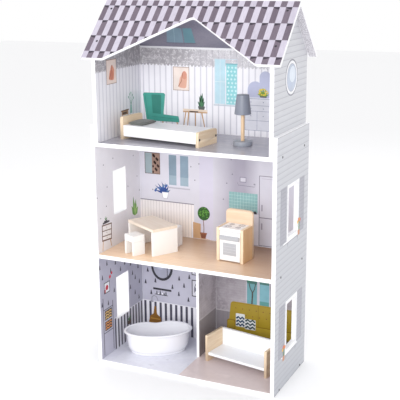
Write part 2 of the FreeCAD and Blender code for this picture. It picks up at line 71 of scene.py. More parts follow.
def soft_light(name, place, target, width, watts):
    """A square softbox that faces the target."""
    lamp = bpy.data.lights.new(name, "AREA")
    lamp.size = width
    lamp.energy = watts
    made = bpy.data.objects.new(name, lamp)
    made.location = place
    made.rotation_euler = (Vector(target) - Vector(place)).to_track_quat("-Z", "Y").to_euler()
    scene.collection.objects.link(made)


soft_light("front_softbox", (0.4, -3.3, 1.4), (0, 0, 0.55), 2.0, 62)
soft_light("right_softbox", (3.0, -1.2, 1.5), (0, 0, 0.6), 1.6, 1)
soft_light("left_softbox", (-2.6, -1.6, 1.4), (0, 0, 0.6), 1.6, 5)
soft_light("rear_softbox", (0.3, 2.8, 2.4), (0, 0, 0.6), 2.0, 10)

surround = bpy.data.worlds.new("surround")
surround.use_nodes = True
surround.node_tree.nodes["Background"].inputs["Color"].default_value = (1, 1, 1, 1)
surround.node_tree.nodes["Background"].inputs["Strength"].default_value = 1.0
scene.world = surround

floor_mesh = bpy.data.meshes.new("studio_floor")
floor_mesh.from_pydata([(-9, -7, 0), (9, -7, 0), (9, 11, 0), (-9, 11, 0)], [], [(0, 1, 2, 3)])
studio_floor = bpy.data.objects.new("studio_floor", floor_mesh)
scene.collection.objects.link(studio_floor)
floor_paint = bpy.data.materials.new("studio white")
floor_paint.use_nodes = True
floor_paint.node_tree.nodes["Principled BSDF"].inputs["Base Color"].default_value = (0.93, 0.93, 0.94, 1)
floor_paint.node_tree.nodes["Principled BSDF"].inputs["Roughness"].default_value = 0.9
floor_mesh.materials.append(floor_paint)

# House boards -----------------------------------------------------------------------------------
# Nine and twelve millimetre fibreboard, sprayed satin white on every face and edge. The edges are
# eased by sanding, and the paint is a little duller and warmer where hands rub them.


def new_material(name):
    """A material, its node tree and its one shader."""
    material = bpy.data.materials.new(name)
    material.use_nodes = True
    return material, material.node_tree, material.node_tree.nodes["Principled BSDF"]


def fill(tree, made, inputs):
    """Links each input to a socket or sets it to a value."""
    for key, value in inputs.items():
        if isinstance(value, bpy.types.NodeSocket):
            tree.links.new(value, made.inputs[key])
        else:
            made.inputs[key].default_value = value


def node(tree, kind, inputs=None, **settings):
    """A node with its settings and inputs."""
    made = tree.nodes.new(kind)
    for key, value in settings.items():
        setattr(made, key, value)
    fill(tree, made, inputs or {})
    return made


def calc(tree, operation, first, second=0.0):
    """One step of arithmetic on numbers or sockets."""
    return node(tree, "ShaderNodeMath", {0: first, 1: second}, operation=operation).outputs[0]


def times(tree, first, second):
    return calc(tree, "MULTIPLY", first, second)


def plus(tree, first, second):
    return calc(tree, "ADD", first, second)


def minus(tree, first, second):
    return calc(tree, "SUBTRACT", first, second)


def ramp(tree, value, low, high, start=0.0, end=1.0):
    """Runs from start to end while the value goes from low to high, and is clamped beyond them."""
    return node(tree, "ShaderNodeMapRange", {"Value": value, "From Min": low, "From Max": high,
                                             "To Min": start, "To Max": end}).outputs[0]


def tone(red, green, blue):
    """A colour given in paint-chart steps from 0 to 255, as light the shader can use."""
    steps = [value / 255 for value in (red, green, blue)]
    return tuple(s / 12.92 if s <= 0.04045 else ((s + 0.055) / 1.055) ** 2.4 for s in steps) + (1.0,)


def mixed(tree, mask, below, above):
    """The colour above laid over the colour below where the mask is 1."""
    return node(tree, "ShaderNodeMix", {0: mask, 6: below, 7: above}, data_type="RGBA").outputs[2]


def new_group(name, wants, gives):
    """A shader group: its tree, its input sockets and its output sockets."""
    tree = bpy.data.node_groups.new(name, "ShaderNodeTree")
    for label, kind, value in wants:
        tree.interface.new_socket(label, in_out="INPUT", socket_type="NodeSocket"
                                  + kind).default_value = value
    for label, kind in gives:
        tree.interface.new_socket(label, in_out="OUTPUT", socket_type="NodeSocket" + kind)
    return tree, tree.nodes.new("NodeGroupInput").outputs, tree.nodes.new("NodeGroupOutput").inputs


def placed(tree, group, inputs):
    """A group placed in a material."""
    made = node(tree, "ShaderNodeGroup", node_tree=group)
    fill(tree, made, inputs)
    return made.outputs


paint_skin, skin_in, skin_out = new_group(
    "Sprayed paint skin",
    [("Colour", "Color", (0.8, 0.8, 0.8, 1)), ("Mottle", "Float", 0.03), ("Stipple", "Float", 900.0)],
    [("Colour", "Color"), ("Roughness", "Float"), ("Height", "Float")])
skin_place = node(paint_skin, "ShaderNodeTexCoord").outputs["Object"]
skin_cloud = node(paint_skin, "ShaderNodeTexNoise", {"Vector": skin_place, "Scale": 22.0,
        "Detail": 4.0}).outputs[0]
skin_grain = node(paint_skin, "ShaderNodeTexNoise",
                  {"Vector": skin_place, "Scale": skin_in["Stipple"], "Detail": 2.0}).outputs[0]
skin_shift = times(paint_skin, minus(paint_skin, skin_cloud, 0.5), skin_in["Mottle"])
skin_value = plus(paint_skin, 1.0, times(paint_skin, skin_shift, 2.0))
skin_colour = node(paint_skin, "ShaderNodeHueSaturation", {"Value": skin_value,
        "Color": skin_in["Colour"]}).outputs[0]
paint_skin.links.new(skin_colour, skin_out["Colour"])
paint_skin.links.new(plus(paint_skin, 0.3, times(paint_skin, skin_grain, 0.16)), skin_out["Roughness"])
paint_skin.links.new(skin_grain, skin_out["Height"])

worn_edge, worn_in, worn_out = new_group("Rubbed edge", [("Colour", "Color", (0.8, 0.8, 0.8, 1)),
        ("Rubbed", "Color", tone(214, 206, 196)), ("Amount", "Float", 0.5)],
        [("Colour", "Color"), ("Mask", "Float")])
worn_mark = node(worn_edge, "ShaderNodeAttribute", attribute_name="eased").outputs["Fac"]
worn_place = node(worn_edge, "ShaderNodeTexCoord").outputs["Object"]
worn_patch = node(worn_edge, "ShaderNodeTexNoise", {"Vector": worn_place, "Scale": 70.0,
        "Detail": 3.0}).outputs[0]
worn_spots = ramp(worn_edge, worn_patch, 0.42, 0.66)
worn_mask = times(worn_edge, times(worn_edge, worn_mark, worn_spots), worn_in["Amount"])
worn_edge.links.new(mixed(worn_edge, worn_mask, worn_in["Colour"], worn_in["Rubbed"]), worn_out["Colour"])
worn_edge.links.new(worn_mask, worn_out["Mask"])


def sprayed(name, colour, mottle=0.03, amount=0.5, gloss=0.0, rubbed=(214, 206, 196)):
    """Satin sprayed paint on board, rubbed along its eased edges."""
    material, tree, shader = new_material(name)
    skin = placed(tree, paint_skin, {"Colour": tone(*colour), "Mottle": mottle})
    edge = placed(tree, worn_edge, {"Colour": skin["Colour"], "Rubbed": tone(*rubbed), "Amount": amount})
    tree.links.new(edge["Colour"], shader.inputs["Base Color"])
    rough = plus(tree, skin["Roughness"], times(tree, edge["Mask"], 0.2))
    tree.links.new(minus(tree, rough, gloss), shader.inputs["Roughness"])
    bump = node(tree, "ShaderNodeBump", {"Strength": 0.12, "Distance": 0.0003, "Height": skin["Height"]})
    tree.links.new(bump.outputs[0], shader.inputs["Normal"])
    return material


def piece(name, mesh, body, material, stands_for=()):
    """A finished mesh, put on its body with its finish and material."""
    made = bpy.data.objects.new(name, mesh)
    scene.collection.objects.link(made)
    mesh.materials.clear()
    mesh.materials.append(material)
    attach(made, body)
    if stands_for:
        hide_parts(*stands_for)
    return made


def marked(shape, name, faces):
    """Gives the corners of some faces the value 1 in an attribute that materials read."""
    layer = shape.loops.layers.float.new(name)
    chosen = set(faces)
    for face in shape.faces:
        for loop in face.loops:
            loop[layer] = 1.0 if face in chosen else 0.0


def eased(part, body, material, ease=0.0006, shortest=0.006, through=None):
    """The board of that name with its edges sanded. through is the way through it, to mark its cut edges."""
    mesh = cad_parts[part].data.copy()
    shape = bmesh.new()
    shape.from_mesh(mesh)
    bmesh.ops.remove_doubles(shape, verts=shape.verts, dist=1e-6)
    bmesh.ops.dissolve_limit(shape, angle_limit=math.radians(0.5), verts=shape.verts, edges=shape.edges)
    sharp = [e for e in shape.edges
             if e.is_manifold and e.calc_face_angle() > math.radians(35) and e.calc_length() > shortest]
    rim = bmesh.ops.bevel(shape, geom=sharp, offset=ease, segments=2, affect="EDGES",
                          clamp_overlap=True)["faces"]
    marked(shape, "eased", rim)
    if through is not None:
        marked(shape, "cut", [f for f in shape.faces if abs(f.normal.dot(Vector(through))) < 0.5])
    shape.to_mesh(mesh)
    shape.free()
    mesh.polygons.foreach_set("use_smooth", [True] * len(mesh.polygons))
    mesh.set_sharp_from_angle(angle=math.radians(25))
    mesh.name = part + "_eased"
    return piece(part + "_eased", mesh, body, material, [part])


white_board = sprayed("satin white board", (246, 246, 249), mottle=0.012)
for panel in ("base_panel", "kitchen_floor", "attic_floor", "left_side_panel", "right_side_panel",
              "room_divider", "lower_back_panel", "attic_back_panel", "left_gable_wall", "right_gable_wall",
              "front_roof_panel", "rear_roof_panel"):
    eased(panel, "house", white_board)

# Printed papers: how they are laid --------------------------------------------------------------
# Each wall, floor and roof face carries a printed paper with a clear coat, laid a little inside the
# board's edges so that a white line shows all round. Motifs are further thin layers of ink on it.

MM = 0.001
PAPER, INK, SUNK = 0.00014, 0.00006, 0.00005
GROUND_TOP, KITCHEN_TOP = 0.012, 0.368
GABLE_PEAK, ATTIC_LOW, ATTIC_HIGH, ATTIC_HALF = 1128.8, 724.6, 987.4, 275.4


def flat_on(wall, inside):
    """Places (along, up, out) on a house surface, in metres."""
    return {
        "back": lambda u, v, w: (u, inside - w, v),
        "left": lambda u, v, w: (inside + w, u, v),
        "right": lambda u, v, w: (inside - w, u, v),
        "floor": lambda u, v, w: (u, v, inside + w),
    }[wall]


def turned_corners(corners, steps=8):
    """An outline whose corners (along, up, radius) are rounded."""
    points = []
    count = len(corners)
    for number, (x, y, radius) in enumerate(corners):
        here = Vector((x, y))
        if not radius:
            points.append((x, y))
            continue
        before = (Vector(corners[number - 1][:2]) - here).normalized()
        after = (Vector(corners[(number + 1) % count][:2]) - here).normalized()
        half = before.angle(after) / 2
        reach = radius / math.tan(half)
        middle = here + (before + after).normalized() * (radius / math.sin(half))
        start, end = here + before * reach - middle, here + after * reach - middle
        for step in range(steps + 1):
            way = start.slerp(end, step / steps)
            points.append(tuple(middle + way * (radius / way.length)))
    return points


def layered(shapes, place):
    """Thin closed layers. Each shape is (outlines in millimetres, holes last; colour; layer number)."""
    vertices, faces, colours = [], [], []
    for order, (outlines, colour, layer) in enumerate(sorted(shapes, key=lambda shape: shape[2])):
        low, high = (-SUNK, PAPER) if layer == 0 else (0.0, PAPER + INK * (layer + order % 5 / 5))
        ink = tone(*colour)
        flat = [point for outline in outlines for point in outline]
        start = len(vertices)
        for depth in (low, high):
            vertices += [place(u * MM, v * MM, depth) for u, v in flat]
        many = len(flat)
        first = 0
        for triangle in geometry.tessellate_polygon([[Vector((u, v, 0)) for u, v in o] for o in outlines]):
            faces.append([start + i for i in triangle])
            faces.append([start + many + i for i in reversed(triangle)])
            colours += [ink, ink]
        for outline in outlines:
            size = len(outline)
            for i in range(size):
                a, b = start + first + i, start + first + (i + 1) % size
                faces.append([a, b, b + many, a + many])
                colours.append(ink)
            first += size
    mesh = bpy.data.meshes.new("layers")
    mesh.from_pydata(vertices, [], faces)
    ink_layer = mesh.color_attributes.new("ink", "FLOAT_COLOR", "CORNER")
    for polygon, colour in zip(mesh.polygons, colours):
        for corner in polygon.loop_indices:
            ink_layer.data[corner].color = colour
    shape = bmesh.new()
    shape.from_mesh(mesh)
    bmesh.ops.recalc_face_normals(shape, faces=shape.faces)
    shape.to_mesh(mesh)
    shape.free()
    return mesh


def oblong(x0, x1, z0, z1):
    return [(x0, z0), (x1, z0), (x1, z1), (x0, z1)]


def slab(x0, x1, z0, z1, colour, layer):
    """A printed rectangle."""
    return [oblong(x0, x1, z0, z1)], colour, layer


printed_ink, ink_in, ink_out = new_group(
    "Printed ink", [("Colour", "Color", (0.8, 0.8, 0.8, 1)), ("Fade", "Float", 0.05)],
    [("Colour", "Color"), ("Roughness", "Float"), ("Height", "Float")])
ink_place = node(printed_ink, "ShaderNodeTexCoord").outputs["Object"]
ink_dots = node(printed_ink, "ShaderNodeTexNoise", {"Vector": ink_place, "Scale": 1400.0,
        "Detail": 1.0}).outputs[0]
ink_cloud = node(printed_ink, "ShaderNodeTexNoise", {"Vector": ink_place, "Scale": 30.0,
        "Detail": 5.0}).outputs[0]
ink_both = plus(printed_ink, times(printed_ink, ink_dots, 0.4), ink_cloud)
ink_shift = times(printed_ink, minus(printed_ink, ink_both, 0.7), ink_in["Fade"])
ink_value = plus(printed_ink, 1.0, times(printed_ink, ink_shift, 2.0))
ink_colour = node(printed_ink, "ShaderNodeHueSaturation", {"Value": ink_value,
        "Color": ink_in["Colour"]}).outputs[0]
printed_ink.links.new(ink_colour, ink_out["Colour"])
printed_ink.links.new(plus(printed_ink, 0.3, times(printed_ink, ink_cloud, 0.18)), ink_out["Roughness"])
printed_ink.links.new(ink_dots, ink_out["Height"])

stripes, stripes_in, stripes_out = new_group(
    "Even stripes",
    [("Along", "Float", 0.0), ("Period", "Float", 0.02), ("Middle", "Float", 0.0), ("Width", "Float", 0.002),
     ("Blur", "Float", 0.0005)],
    [("Mask", "Float"), ("Number", "Float")])
stripe_steps = calc(stripes, "DIVIDE", minus(stripes, stripes_in["Along"], stripes_in["Middle"]),
                    stripes_in["Period"])
stripe_number = calc(stripes, "FLOOR", plus(stripes, stripe_steps, 0.5))
stripe_away = times(stripes, calc(stripes, "ABSOLUTE", minus(stripes, stripe_steps, stripe_number)),
                   stripes_in["Period"])
stripe_half = calc(stripes, "DIVIDE", stripes_in["Width"], 2.0)
stripe_mask = node(stripes, "ShaderNodeMapRange",
                   {"Value": stripe_away, "From Min": plus(stripes, stripe_half, stripes_in["Blur"]),
                    "From Max": stripe_half}).outputs[0]
stripes.links.new(stripe_mask, stripes_out["Mask"])
stripes.links.new(stripe_number, stripes_out["Number"])


def coated(tree, shader, colour, fade, gloss=0.0):
    """Finishes a printed surface: ink grain, clear coat and, where it is satin, the paper's faint tooth."""
    ink = placed(tree, printed_ink, {"Colour": colour, "Fade": fade})
    tree.links.new(ink["Colour"], shader.inputs["Base Color"])
    tree.links.new(minus(tree, ink["Roughness"], gloss), shader.inputs["Roughness"])
    if not gloss:
        tooth = node(tree, "ShaderNodeBump", {"Strength": 0.08, "Distance": 0.0002, "Height": ink["Height"]})
        tree.links.new(tooth.outputs[0], shader.inputs["Normal"])


def paper_print(name, paint, fade=0.05, gloss=0.0):
    """A printed paper. paint(tree, x, y, z, place) draws its pattern in metres of the house."""
    material, tree, shader = new_material(name)
    place = node(tree, "ShaderNodeTexCoord").outputs["Object"]
    axes = node(tree, "ShaderNodeSeparateXYZ", {0: place}).outputs
    coated(tree, shader, paint(tree, axes[0], axes[1], axes[2], place), fade, gloss)
    return material


def lines(tree, along, period, middle, width, blur=0.0004):
    return placed(tree, stripes, {"Along": along, "Period": period, "Middle": middle, "Width": width,
                                  "Blur": blur})


def between(tree, value, low, high, blur=0.0008):
    """1 between two levels, with soft ends."""
    above = ramp(tree, value, low - blur, low + blur)
    below = ramp(tree, value, high + blur, high - blur)
    return times(tree, above, below)


def cloud(tree, place, size, stretch=(1, 1, 1), detail=4.0, low=0.35, high=0.65):
    """Soft noise from 0 to 1. size is in metres and stretch lengthens it along an axis."""
    mapped = node(tree, "ShaderNodeMapping", {"Vector": place,
            "Scale": tuple(1 / s for s in stretch)}).outputs[0]
    value = node(tree, "ShaderNodeTexNoise", {"Vector": mapped, "Scale": 1 / size,
            "Detail": detail}).outputs[0]
    return ramp(tree, value, low, high)


def paper(name, outlines, place, material):
    return piece(name, layered([(outlines, (255, 255, 255), 0)], place), "house", material)


motif_material, motif_tree, motif_shader = new_material("motif inks")
motif_ink = node(motif_tree, "ShaderNodeVertexColor", layer_name="ink").outputs[0]
coated(motif_tree, motif_shader, motif_ink, 0.16)


def motifs(name, shapes, place, body="house"):
    return piece(name, layered(shapes, place), body, motif_material)


def disc(x, z, across, high=None, steps=28, start=0.0):
    high = across if high is None else high
    turns = [start + math.tau * i / steps for i in range(steps)]
    return [(x + across / 2 * math.cos(t), z + high / 2 * math.sin(t)) for t in turns]


def stroke(points, width):
    """A drawn line of even width along some points."""
    left, right = [], []
    for i, point in enumerate(points):
        here = Vector(point)
        ahead = Vector(points[min(i + 1, len(points) - 1)]) - Vector(points[max(i - 1, 0)])
        side = Vector((-ahead.y, ahead.x)).normalized() * width / 2
        left.append(tuple(here + side))
        right.append(tuple(here - side))
    return left + right[::-1]


def ring(x0, x1, z0, z1, width):
    """A frame: its outline and its opening."""
    return [oblong(x0, x1, z0, z1), oblong(x0 + width, x1 - width, z0 + width, z1 - width)]


def rounded(corners, colour, layer):
    """A printed shape with rounded corners."""
    return [turned_corners(corners)], colour, layer


def penned(points, width, colour, layer):
    """A printed line."""
    return [stroke(points, width)], colour, layer


def spot(colour, layer, *sizes, **more):
    """A printed disc."""
    return [disc(*sizes, **more)], colour, layer


# Ground floor, bathroom -------------------------------------------------------------------------
# Grey-lilac paper with small fir trees above a striped dado on the left, rear and divider walls,
# and a pale marbled floor. A mirror, a bottle shelf, frames and a basket rack are printed on it.
LEFT_INNER, RIGHT_INNER, BACK_INNER = -0.288, 0.288, 0.138
DIVIDER_LEFT, DIVIDER_RIGHT = -19, -10
FRONT_EDGE, REAR_EDGE = -141.2, 137.4
GROUND_LOW, GROUND_HIGH = 12.6, 355.4
LOWER_WINDOW = oblong(-38.8, 42.8, 113.2, 258.8)
UPPER_WINDOW = oblong(-38.8, 42.8, 469.2, 614.8)


def bathroom_paint(along, dado_from, first_stripe):
    def paint(tree, x, y, z, place):
        across = (x, y)[along]
        ground = mixed(tree, cloud(tree, place, 0.12), tone(184, 182, 198), tone(196, 195, 209))
        dado = between(tree, z, 0.0, 0.122)
        beyond = node(tree, "ShaderNodeMath", {0: across, 1: dado_from}, operation="GREATER_THAN").outputs[0]
        bars = lines(tree, across, 0.0199, first_stripe, 0.0082)["Mask"]
        striped = mixed(tree, bars, tone(234, 233, 240), tone(74, 72, 88))
        rail = between(tree, z, 0.1205, 0.1235, 0.0004)
        body = mixed(tree, times(tree, dado, beyond), ground, striped)
        return mixed(tree, times(tree, rail, beyond), body, tone(228, 227, 234))
    return paint


def marble_paint(light, dark, size=0.09):
    def paint(tree, x, y, z, place):
        veins = cloud(tree, place, size, (1.6, 1, 1), 7.0, 0.48, 0.52)
        fine = cloud(tree, place, size / 5, (1, 1, 1), 5.0)
        soft = mixed(tree, fine, tone(*light), tone(*[c - 6 for c in light]))
        return mixed(tree, times(tree, veins, 0.35), soft, tone(*dark))
    return paint


paper("bathroom_left_paper", [oblong(FRONT_EDGE, REAR_EDGE, GROUND_LOW, GROUND_HIGH), LOWER_WINDOW],
      flat_on("left", LEFT_INNER), paper_print("bathroom left print", bathroom_paint(1, -0.056, -0.051)))
paper("bathroom_back_paper", [oblong(-287.4, DIVIDER_LEFT - 0.6, GROUND_LOW, GROUND_HIGH)],
      flat_on("back", BACK_INNER), paper_print("bathroom rear print", bathroom_paint(0, -0.29, -0.2782)))
paper("bathroom_divider_paper", [oblong(4.2, REAR_EDGE, GROUND_LOW, GROUND_HIGH)],
      flat_on("right", DIVIDER_LEFT * MM), paper_print("bathroom divider print",
        bathroom_paint(1, -0.2, 0.012)))
paper("bathroom_floor_paper", [oblong(-287.4, -14.5, FRONT_EDGE, REAR_EDGE)], flat_on("floor", GROUND_TOP),
      paper_print("bathroom floor print", marble_paint((232, 233, 243), (214, 214, 228)), 0.03, 0.08))

fir_green, slate, paper_white = (60, 56, 72), (42, 40, 50), (238, 238, 243)


def fir(x, z):
    """A small three-tier fir with its trunk."""
    half, high = 4.76, 9.24
    tiers = [(0, high), (-half * 0.5, high * 0.35), (-half * 0.3, high * 0.35), (-half * 0.78, -high * 0.25),
             (-half * 0.5, -high * 0.25), (-half, -high * 0.8), (-0.5, -high * 0.8), (-0.5, -high),
             (0.5, -high), (0.5, -high * 0.8), (half, -high * 0.8), (half * 0.5, -high * 0.25),
             (half * 0.78, -high * 0.25), (half * 0.3, high * 0.35), (half * 0.5, high * 0.35)]
    return ([[(x + a, z + b) for a, b in tiers]], fir_green, 1)


def petals(x, z, across, colour, layer):
    """A flower of round petals."""
    made = []
    for i in range(5):
        turn_by = math.tau * i / 5
        made.append(spot(colour, layer, x + across * 0.27 * math.cos(turn_by), z + across * 0.27
                         * math.sin(turn_by), across * 0.5, steps=12))
    return made


left_firs = [(-137, 323), (-93, 325), (-40, 312), (20, 293), (58, 278), (-9, 280), (-71, 293), (109, 253),
             (70, 241), (88, 220), (116, 197), (54, 196), (85, 167), (111, 142), (-123, 285), (-53, 221),
             (-92, 190), (-130, 195), (96, 300), (40, 330), (122, 318), (-22, 336), (-112, 236)]
left_shapes = [fir(y, z) for y, z in left_firs]
left_shapes += [(ring(-115, -80, 226, 263, 2.6), slate, 1), slab(-112.4, -82.6, 228.6, 260.4, paper_white, 1),
    spot((196, 40, 58), 2, -98, 244, 17), slab(-112.4, -106, 229, 240, (196, 60, 70), 2),
    penned([(-79, 262), (-77, 270), (-72, 276)], 1.0, (70, 90, 80), 2)]
left_shapes += petals(-77, 274, 12, (205, 44, 66), 3) + petals(-66, 284, 10, (205, 44, 66), 3)
left_shapes += [slab(-126, -122.4, 20, 214, (96, 94, 108), 1), slab(-67, -63.4, 20, 190, (96, 94, 108), 1),
    slab(-122, -67, 171, 174, (96, 94, 108), 1), slab(-122, -67, 92, 95, (96, 94, 108), 1)]
for basket_low, basket_high, basket_tone in ((136, 168, (226, 188, 120)), (100, 131, (222, 150, 86))):
    left_shapes.append(slab(-116, -72, basket_low, basket_high, (70, 52, 44), 2))
    for row in range(3):
        level = basket_low + 5 + row * 9.4
        zigzag = [(-113 + 9.5 * i, level + (3.4 if i % 2 else -1.0)) for i in range(5)]
        left_shapes.append(penned(zigzag, 4.6, basket_tone, 3))
left_shapes += [spot((92, 76, 62), 1, 40, 74, 22, 16)]
for leaf in range(7):
    lean = -0.9 + 0.3 * leaf
    tip = (40 + 22 * math.sin(lean), 80 + 22 * math.cos(lean))
    left_shapes.append(([[(38, 79), (42, 79), tip]], (88, 128, 92), 2))
motifs("bathroom_left_motifs", left_shapes, flat_on("left", LEFT_INNER))

rear_firs = [(-266, 234), (-275, 190), (-237, 199), (-146, 219), (-108, 230), (-172, 185), (-128, 196),
             (-254, 154), (-148, 163), (-112, 148), (-58, 232), (-40, 196), (-66, 172), (-36, 148),
             (-262, 290), (-230, 318), (-140, 292), (-110, 270), (-150, 330), (-60, 300), (-42, 270),
             (-78, 330)]
rear_shapes = [fir(x, z) for x, z in rear_firs]
rear_shapes += [spot((44, 42, 52), 2, -211, 251, 83, 100), spot((168, 169, 186), 3, -211, 251, 66, 82),
    spot((182, 184, 200), 4, -218, 262, 36, 44), slab(-192, -189.6, 214, 288, (58, 56, 68), 4),
    slab(-246, -176, 165.5, 172.5, slate, 2)]
for x, high, glaze in ((-232, 13, slate), (-226, 8, paper_white), (-219, 15, slate),
                       (-211, 11, paper_white), (-204, 8, slate), (-197, 14, slate)):
    rear_shapes.append(slab(x - 2, x + 2, 150, 150 + high * 0.72, glaze, 2))
    rear_shapes.append(slab(x - 0.8, x + 0.8, 150 + high * 0.72, 150 + high, slate, 2))
rear_shapes += [slab(-240, -190, 147.6, 150, slate, 2), penned([(-252, 122), (-252, 136), (-244, 143),
    (-234, 140), (-228, 126)], 3.4, (150, 150, 162), 2), slab(-258, -246, 118, 123, (150, 150, 162), 2),
    rounded([(-266, 40, 4), (-214, 40, 4), (-220, 66, 8), (-233, 76, 4), (-237, 104, 1), (-243, 104, 1),
    (-247, 76, 4), (-260, 66, 8)], (140, 96, 34), 2), slab(-258, -222, 56, 60, (184, 136, 58), 3),
    (ring(-99, -74, 162, 221, 3), slate, 2), slab(-96, -77, 165, 218, (214, 213, 222), 2),
    penned([(-90, 176), (-88, 196), (-83, 208)], 2, slate, 3), spot((120, 120, 134), 3, -86, 188, 9, 15),
    (ring(-99, -70, 238, 262, 3), slate, 2), slab(-96, -73, 241, 259, (214, 213, 222), 2),
    spot((120, 120, 134), 3, -85, 249, 11, 8)]
motifs("bathroom_back_motifs", rear_shapes, flat_on("back", BACK_INNER))
motifs("bathroom_divider_motifs", [fir(20 + 26 * (i % 5) + 11 * (i // 5 % 2), 150 + 34 * (i // 5))
    for i in range(30) if 20 + 26 * (i % 5) + 11 * (i // 5 % 2) < 132], flat_on("right", DIVIDER_LEFT * MM))

# Ground floor, living room ----------------------------------------------------------------------
# Whitewashed brick paper over a grey wainscot, and a rose-beige floor. The rear wall shows a paned
# window, a buttoned mustard settee and two chevron cushions.


def brick_paint(along, wainscot_high, painted_shade=0.0):
    def paint(tree, x, y, z, place):
        across = (x, y)[along]
        course = lines(tree, z, 0.0086, 0.0, 0.0009, 0.0006)
        shift = times(tree, calc(tree, "PINGPONG", course["Number"], 1.0), 0.011)
        joint = lines(tree, plus(tree, across, shift), 0.022, 0.0, 0.0009, 0.0006)
        mortar = calc(tree, "MAXIMUM", course["Mask"], joint["Mask"])
        washed = mixed(tree, cloud(tree, place, 0.05, (1, 1, 1), 6.0), tone(168, 160, 167),
                       tone(206, 199, 205))
        blotched = mixed(tree, cloud(tree, place, 0.009, (1, 1, 1), 5.0, 0.45, 0.6), washed,
                         tone(196, 189, 196))
        wall = mixed(tree, times(tree, mortar, 0.24), blotched, tone(150, 143, 152))
        boards = lines(tree, across, 0.016, 0.0, 0.001)["Mask"]
        panel = mixed(tree, times(tree, boards, 0.4), tone(156, 150, 156), tone(120, 113, 122))
        rail = between(tree, z, wainscot_high, wainscot_high + 0.004, 0.0004)
        low = between(tree, z, 0.0, wainscot_high)
        whole = mixed(tree, rail, mixed(tree, low, wall, panel), tone(204, 198, 203))
        # painted_shade mixes the whole wall towards dark grey-lilac (60, 54, 66). This is painted shade, and
        # only the rear wall gets it.
        return mixed(tree, painted_shade, whole, tone(60, 54, 66)) if painted_shade else whole
    return paint


# The living room's rear wall gets 0.34 of painted shade.
paper("living_back_paper", [oblong(DIVIDER_RIGHT + 0.6, 287.4, GROUND_LOW, GROUND_HIGH)],
      flat_on("back", BACK_INNER), paper_print("living rear print", brick_paint(0, 0.129, 0.34), 0.09))
paper("living_divider_paper", [oblong(4.2, REAR_EDGE, GROUND_LOW, GROUND_HIGH)],
      flat_on("left", DIVIDER_RIGHT * MM), paper_print("living divider print", brick_paint(1, 0.136), 0.09))
paper("living_right_paper", [oblong(FRONT_EDGE, REAR_EDGE, GROUND_LOW, GROUND_HIGH), LOWER_WINDOW],
      flat_on("right", RIGHT_INNER), paper_print("living right print", brick_paint(1, 0.106), 0.09))
paper("living_floor_paper", [oblong(-14.1, 287.4, FRONT_EDGE, REAR_EDGE)], flat_on("floor", GROUND_TOP),
      paper_print("living floor print", marble_paint((226, 211, 210), (206, 190, 190)), 0.03, 0.08))

mustard, mustard_dark, mustard_light = (160, 136, 32), (132, 102, 12), (178, 154, 50)
living_shapes = [(ring(97, 182, 156, 268, 4), (186, 184, 194), 1),
    slab(101, 136, 160, 264, (104, 158, 166), 1), slab(145, 178, 160, 264, (120, 172, 184), 1),
    slab(136, 145, 158, 266, (186, 184, 194), 1), slab(101, 136, 238, 264, (62, 112, 104), 2),
    slab(145, 178, 240, 264, (74, 124, 118), 2), slab(145, 178, 160, 182, (84, 144, 140), 2),
    penned([(118, 160), (120, 196), (120, 212)], 5, (70, 72, 66), 3),
    penned([(120, 208), (112, 222), (108, 238)], 3, (70, 72, 66), 4),
    penned([(120, 206), (127, 220), (131, 240)], 3, (70, 72, 66), 5)]
for number in range(16):
    living_shapes.append(spot((58, 104 + number * 3, 92), 6, 103 + (number * 37) % 32, 246
        + (number * 13) % 18, 9, 6, 10))
    living_shapes.append(spot((66, 116 + number * 3, 100), 3, 147 + (number * 29) % 30, 248
        + (number * 11) % 16, 8, 5, 10))
living_shapes += [rounded([(34, 60, 4), (276, 60, 4), (276, 168, 8), (44, 168, 12)], mustard, 7),
    rounded([(30, 58, 4), (62, 58, 4), (62, 104, 8), (30, 104, 8)], mustard_dark, 8),
    rounded([(32, 60, 4), (58, 60, 4), (58, 101, 8), (32, 101, 8)], mustard, 9),
    rounded([(58, 58, 4), (278, 58, 4), (278, 92, 6), (58, 92, 6)], mustard_dark, 8),
    rounded([(60, 60, 4), (276, 60, 4), (276, 89, 6), (60, 89, 6)], mustard_light, 9),
    slab(140.2, 141.8, 92, 166, mustard_dark, 8), slab(212.2, 213.8, 92, 166, mustard_dark, 8),
    slab(48, 272, 164, 165.2, mustard_dark, 8)]
for row, level in enumerate((146, 124)):
    for button in range(9):
        living_shapes.append(spot((112, 60, 36), 9, 62 + 24 * button + 12 * row, level, 3.6, steps=12))
for cushion_x, cushion_z, wide, high, dark in ((78, 105, 32, 46, (16, 58, 96)),
        (113, 95, 38, 36, (52, 74, 84))):
    cushion_edge = turned_corners([(cushion_x - wide / 2, cushion_z - high / 2, 3),
                                   (cushion_x + wide / 2, cushion_z - high / 2, 3),
                                   (cushion_x + wide / 2, cushion_z + high / 2, 3),
                                   (cushion_x - wide / 2, cushion_z + high / 2, 3)])
    living_shapes.append(([cushion_edge], (222, 226, 228), 10))
    for row in range(int(high // 12)):
        level = cushion_z - high / 2 + 6 + row * 12
        step = (wide - 4) / 4
        zigzag = [(cushion_x - wide / 2 + 2 + step * i, level + (4.5 if i % 2 else -2)) for i in range(5)]
        living_shapes.append(penned(zigzag, 6.4, dark, 11))
motifs("living_back_motifs", living_shapes, flat_on("back", BACK_INNER))

# Kitchen ----------------------------------------------------------------------------------------
# Pale lilac walls with a beaded dado on the left, a honey-coloured wooden floor, and a printed tall
# cupboard, tiled splash wall, picture, window and plants.
KITCHEN_LOW, KITCHEN_HIGH = 368.6, 711.4


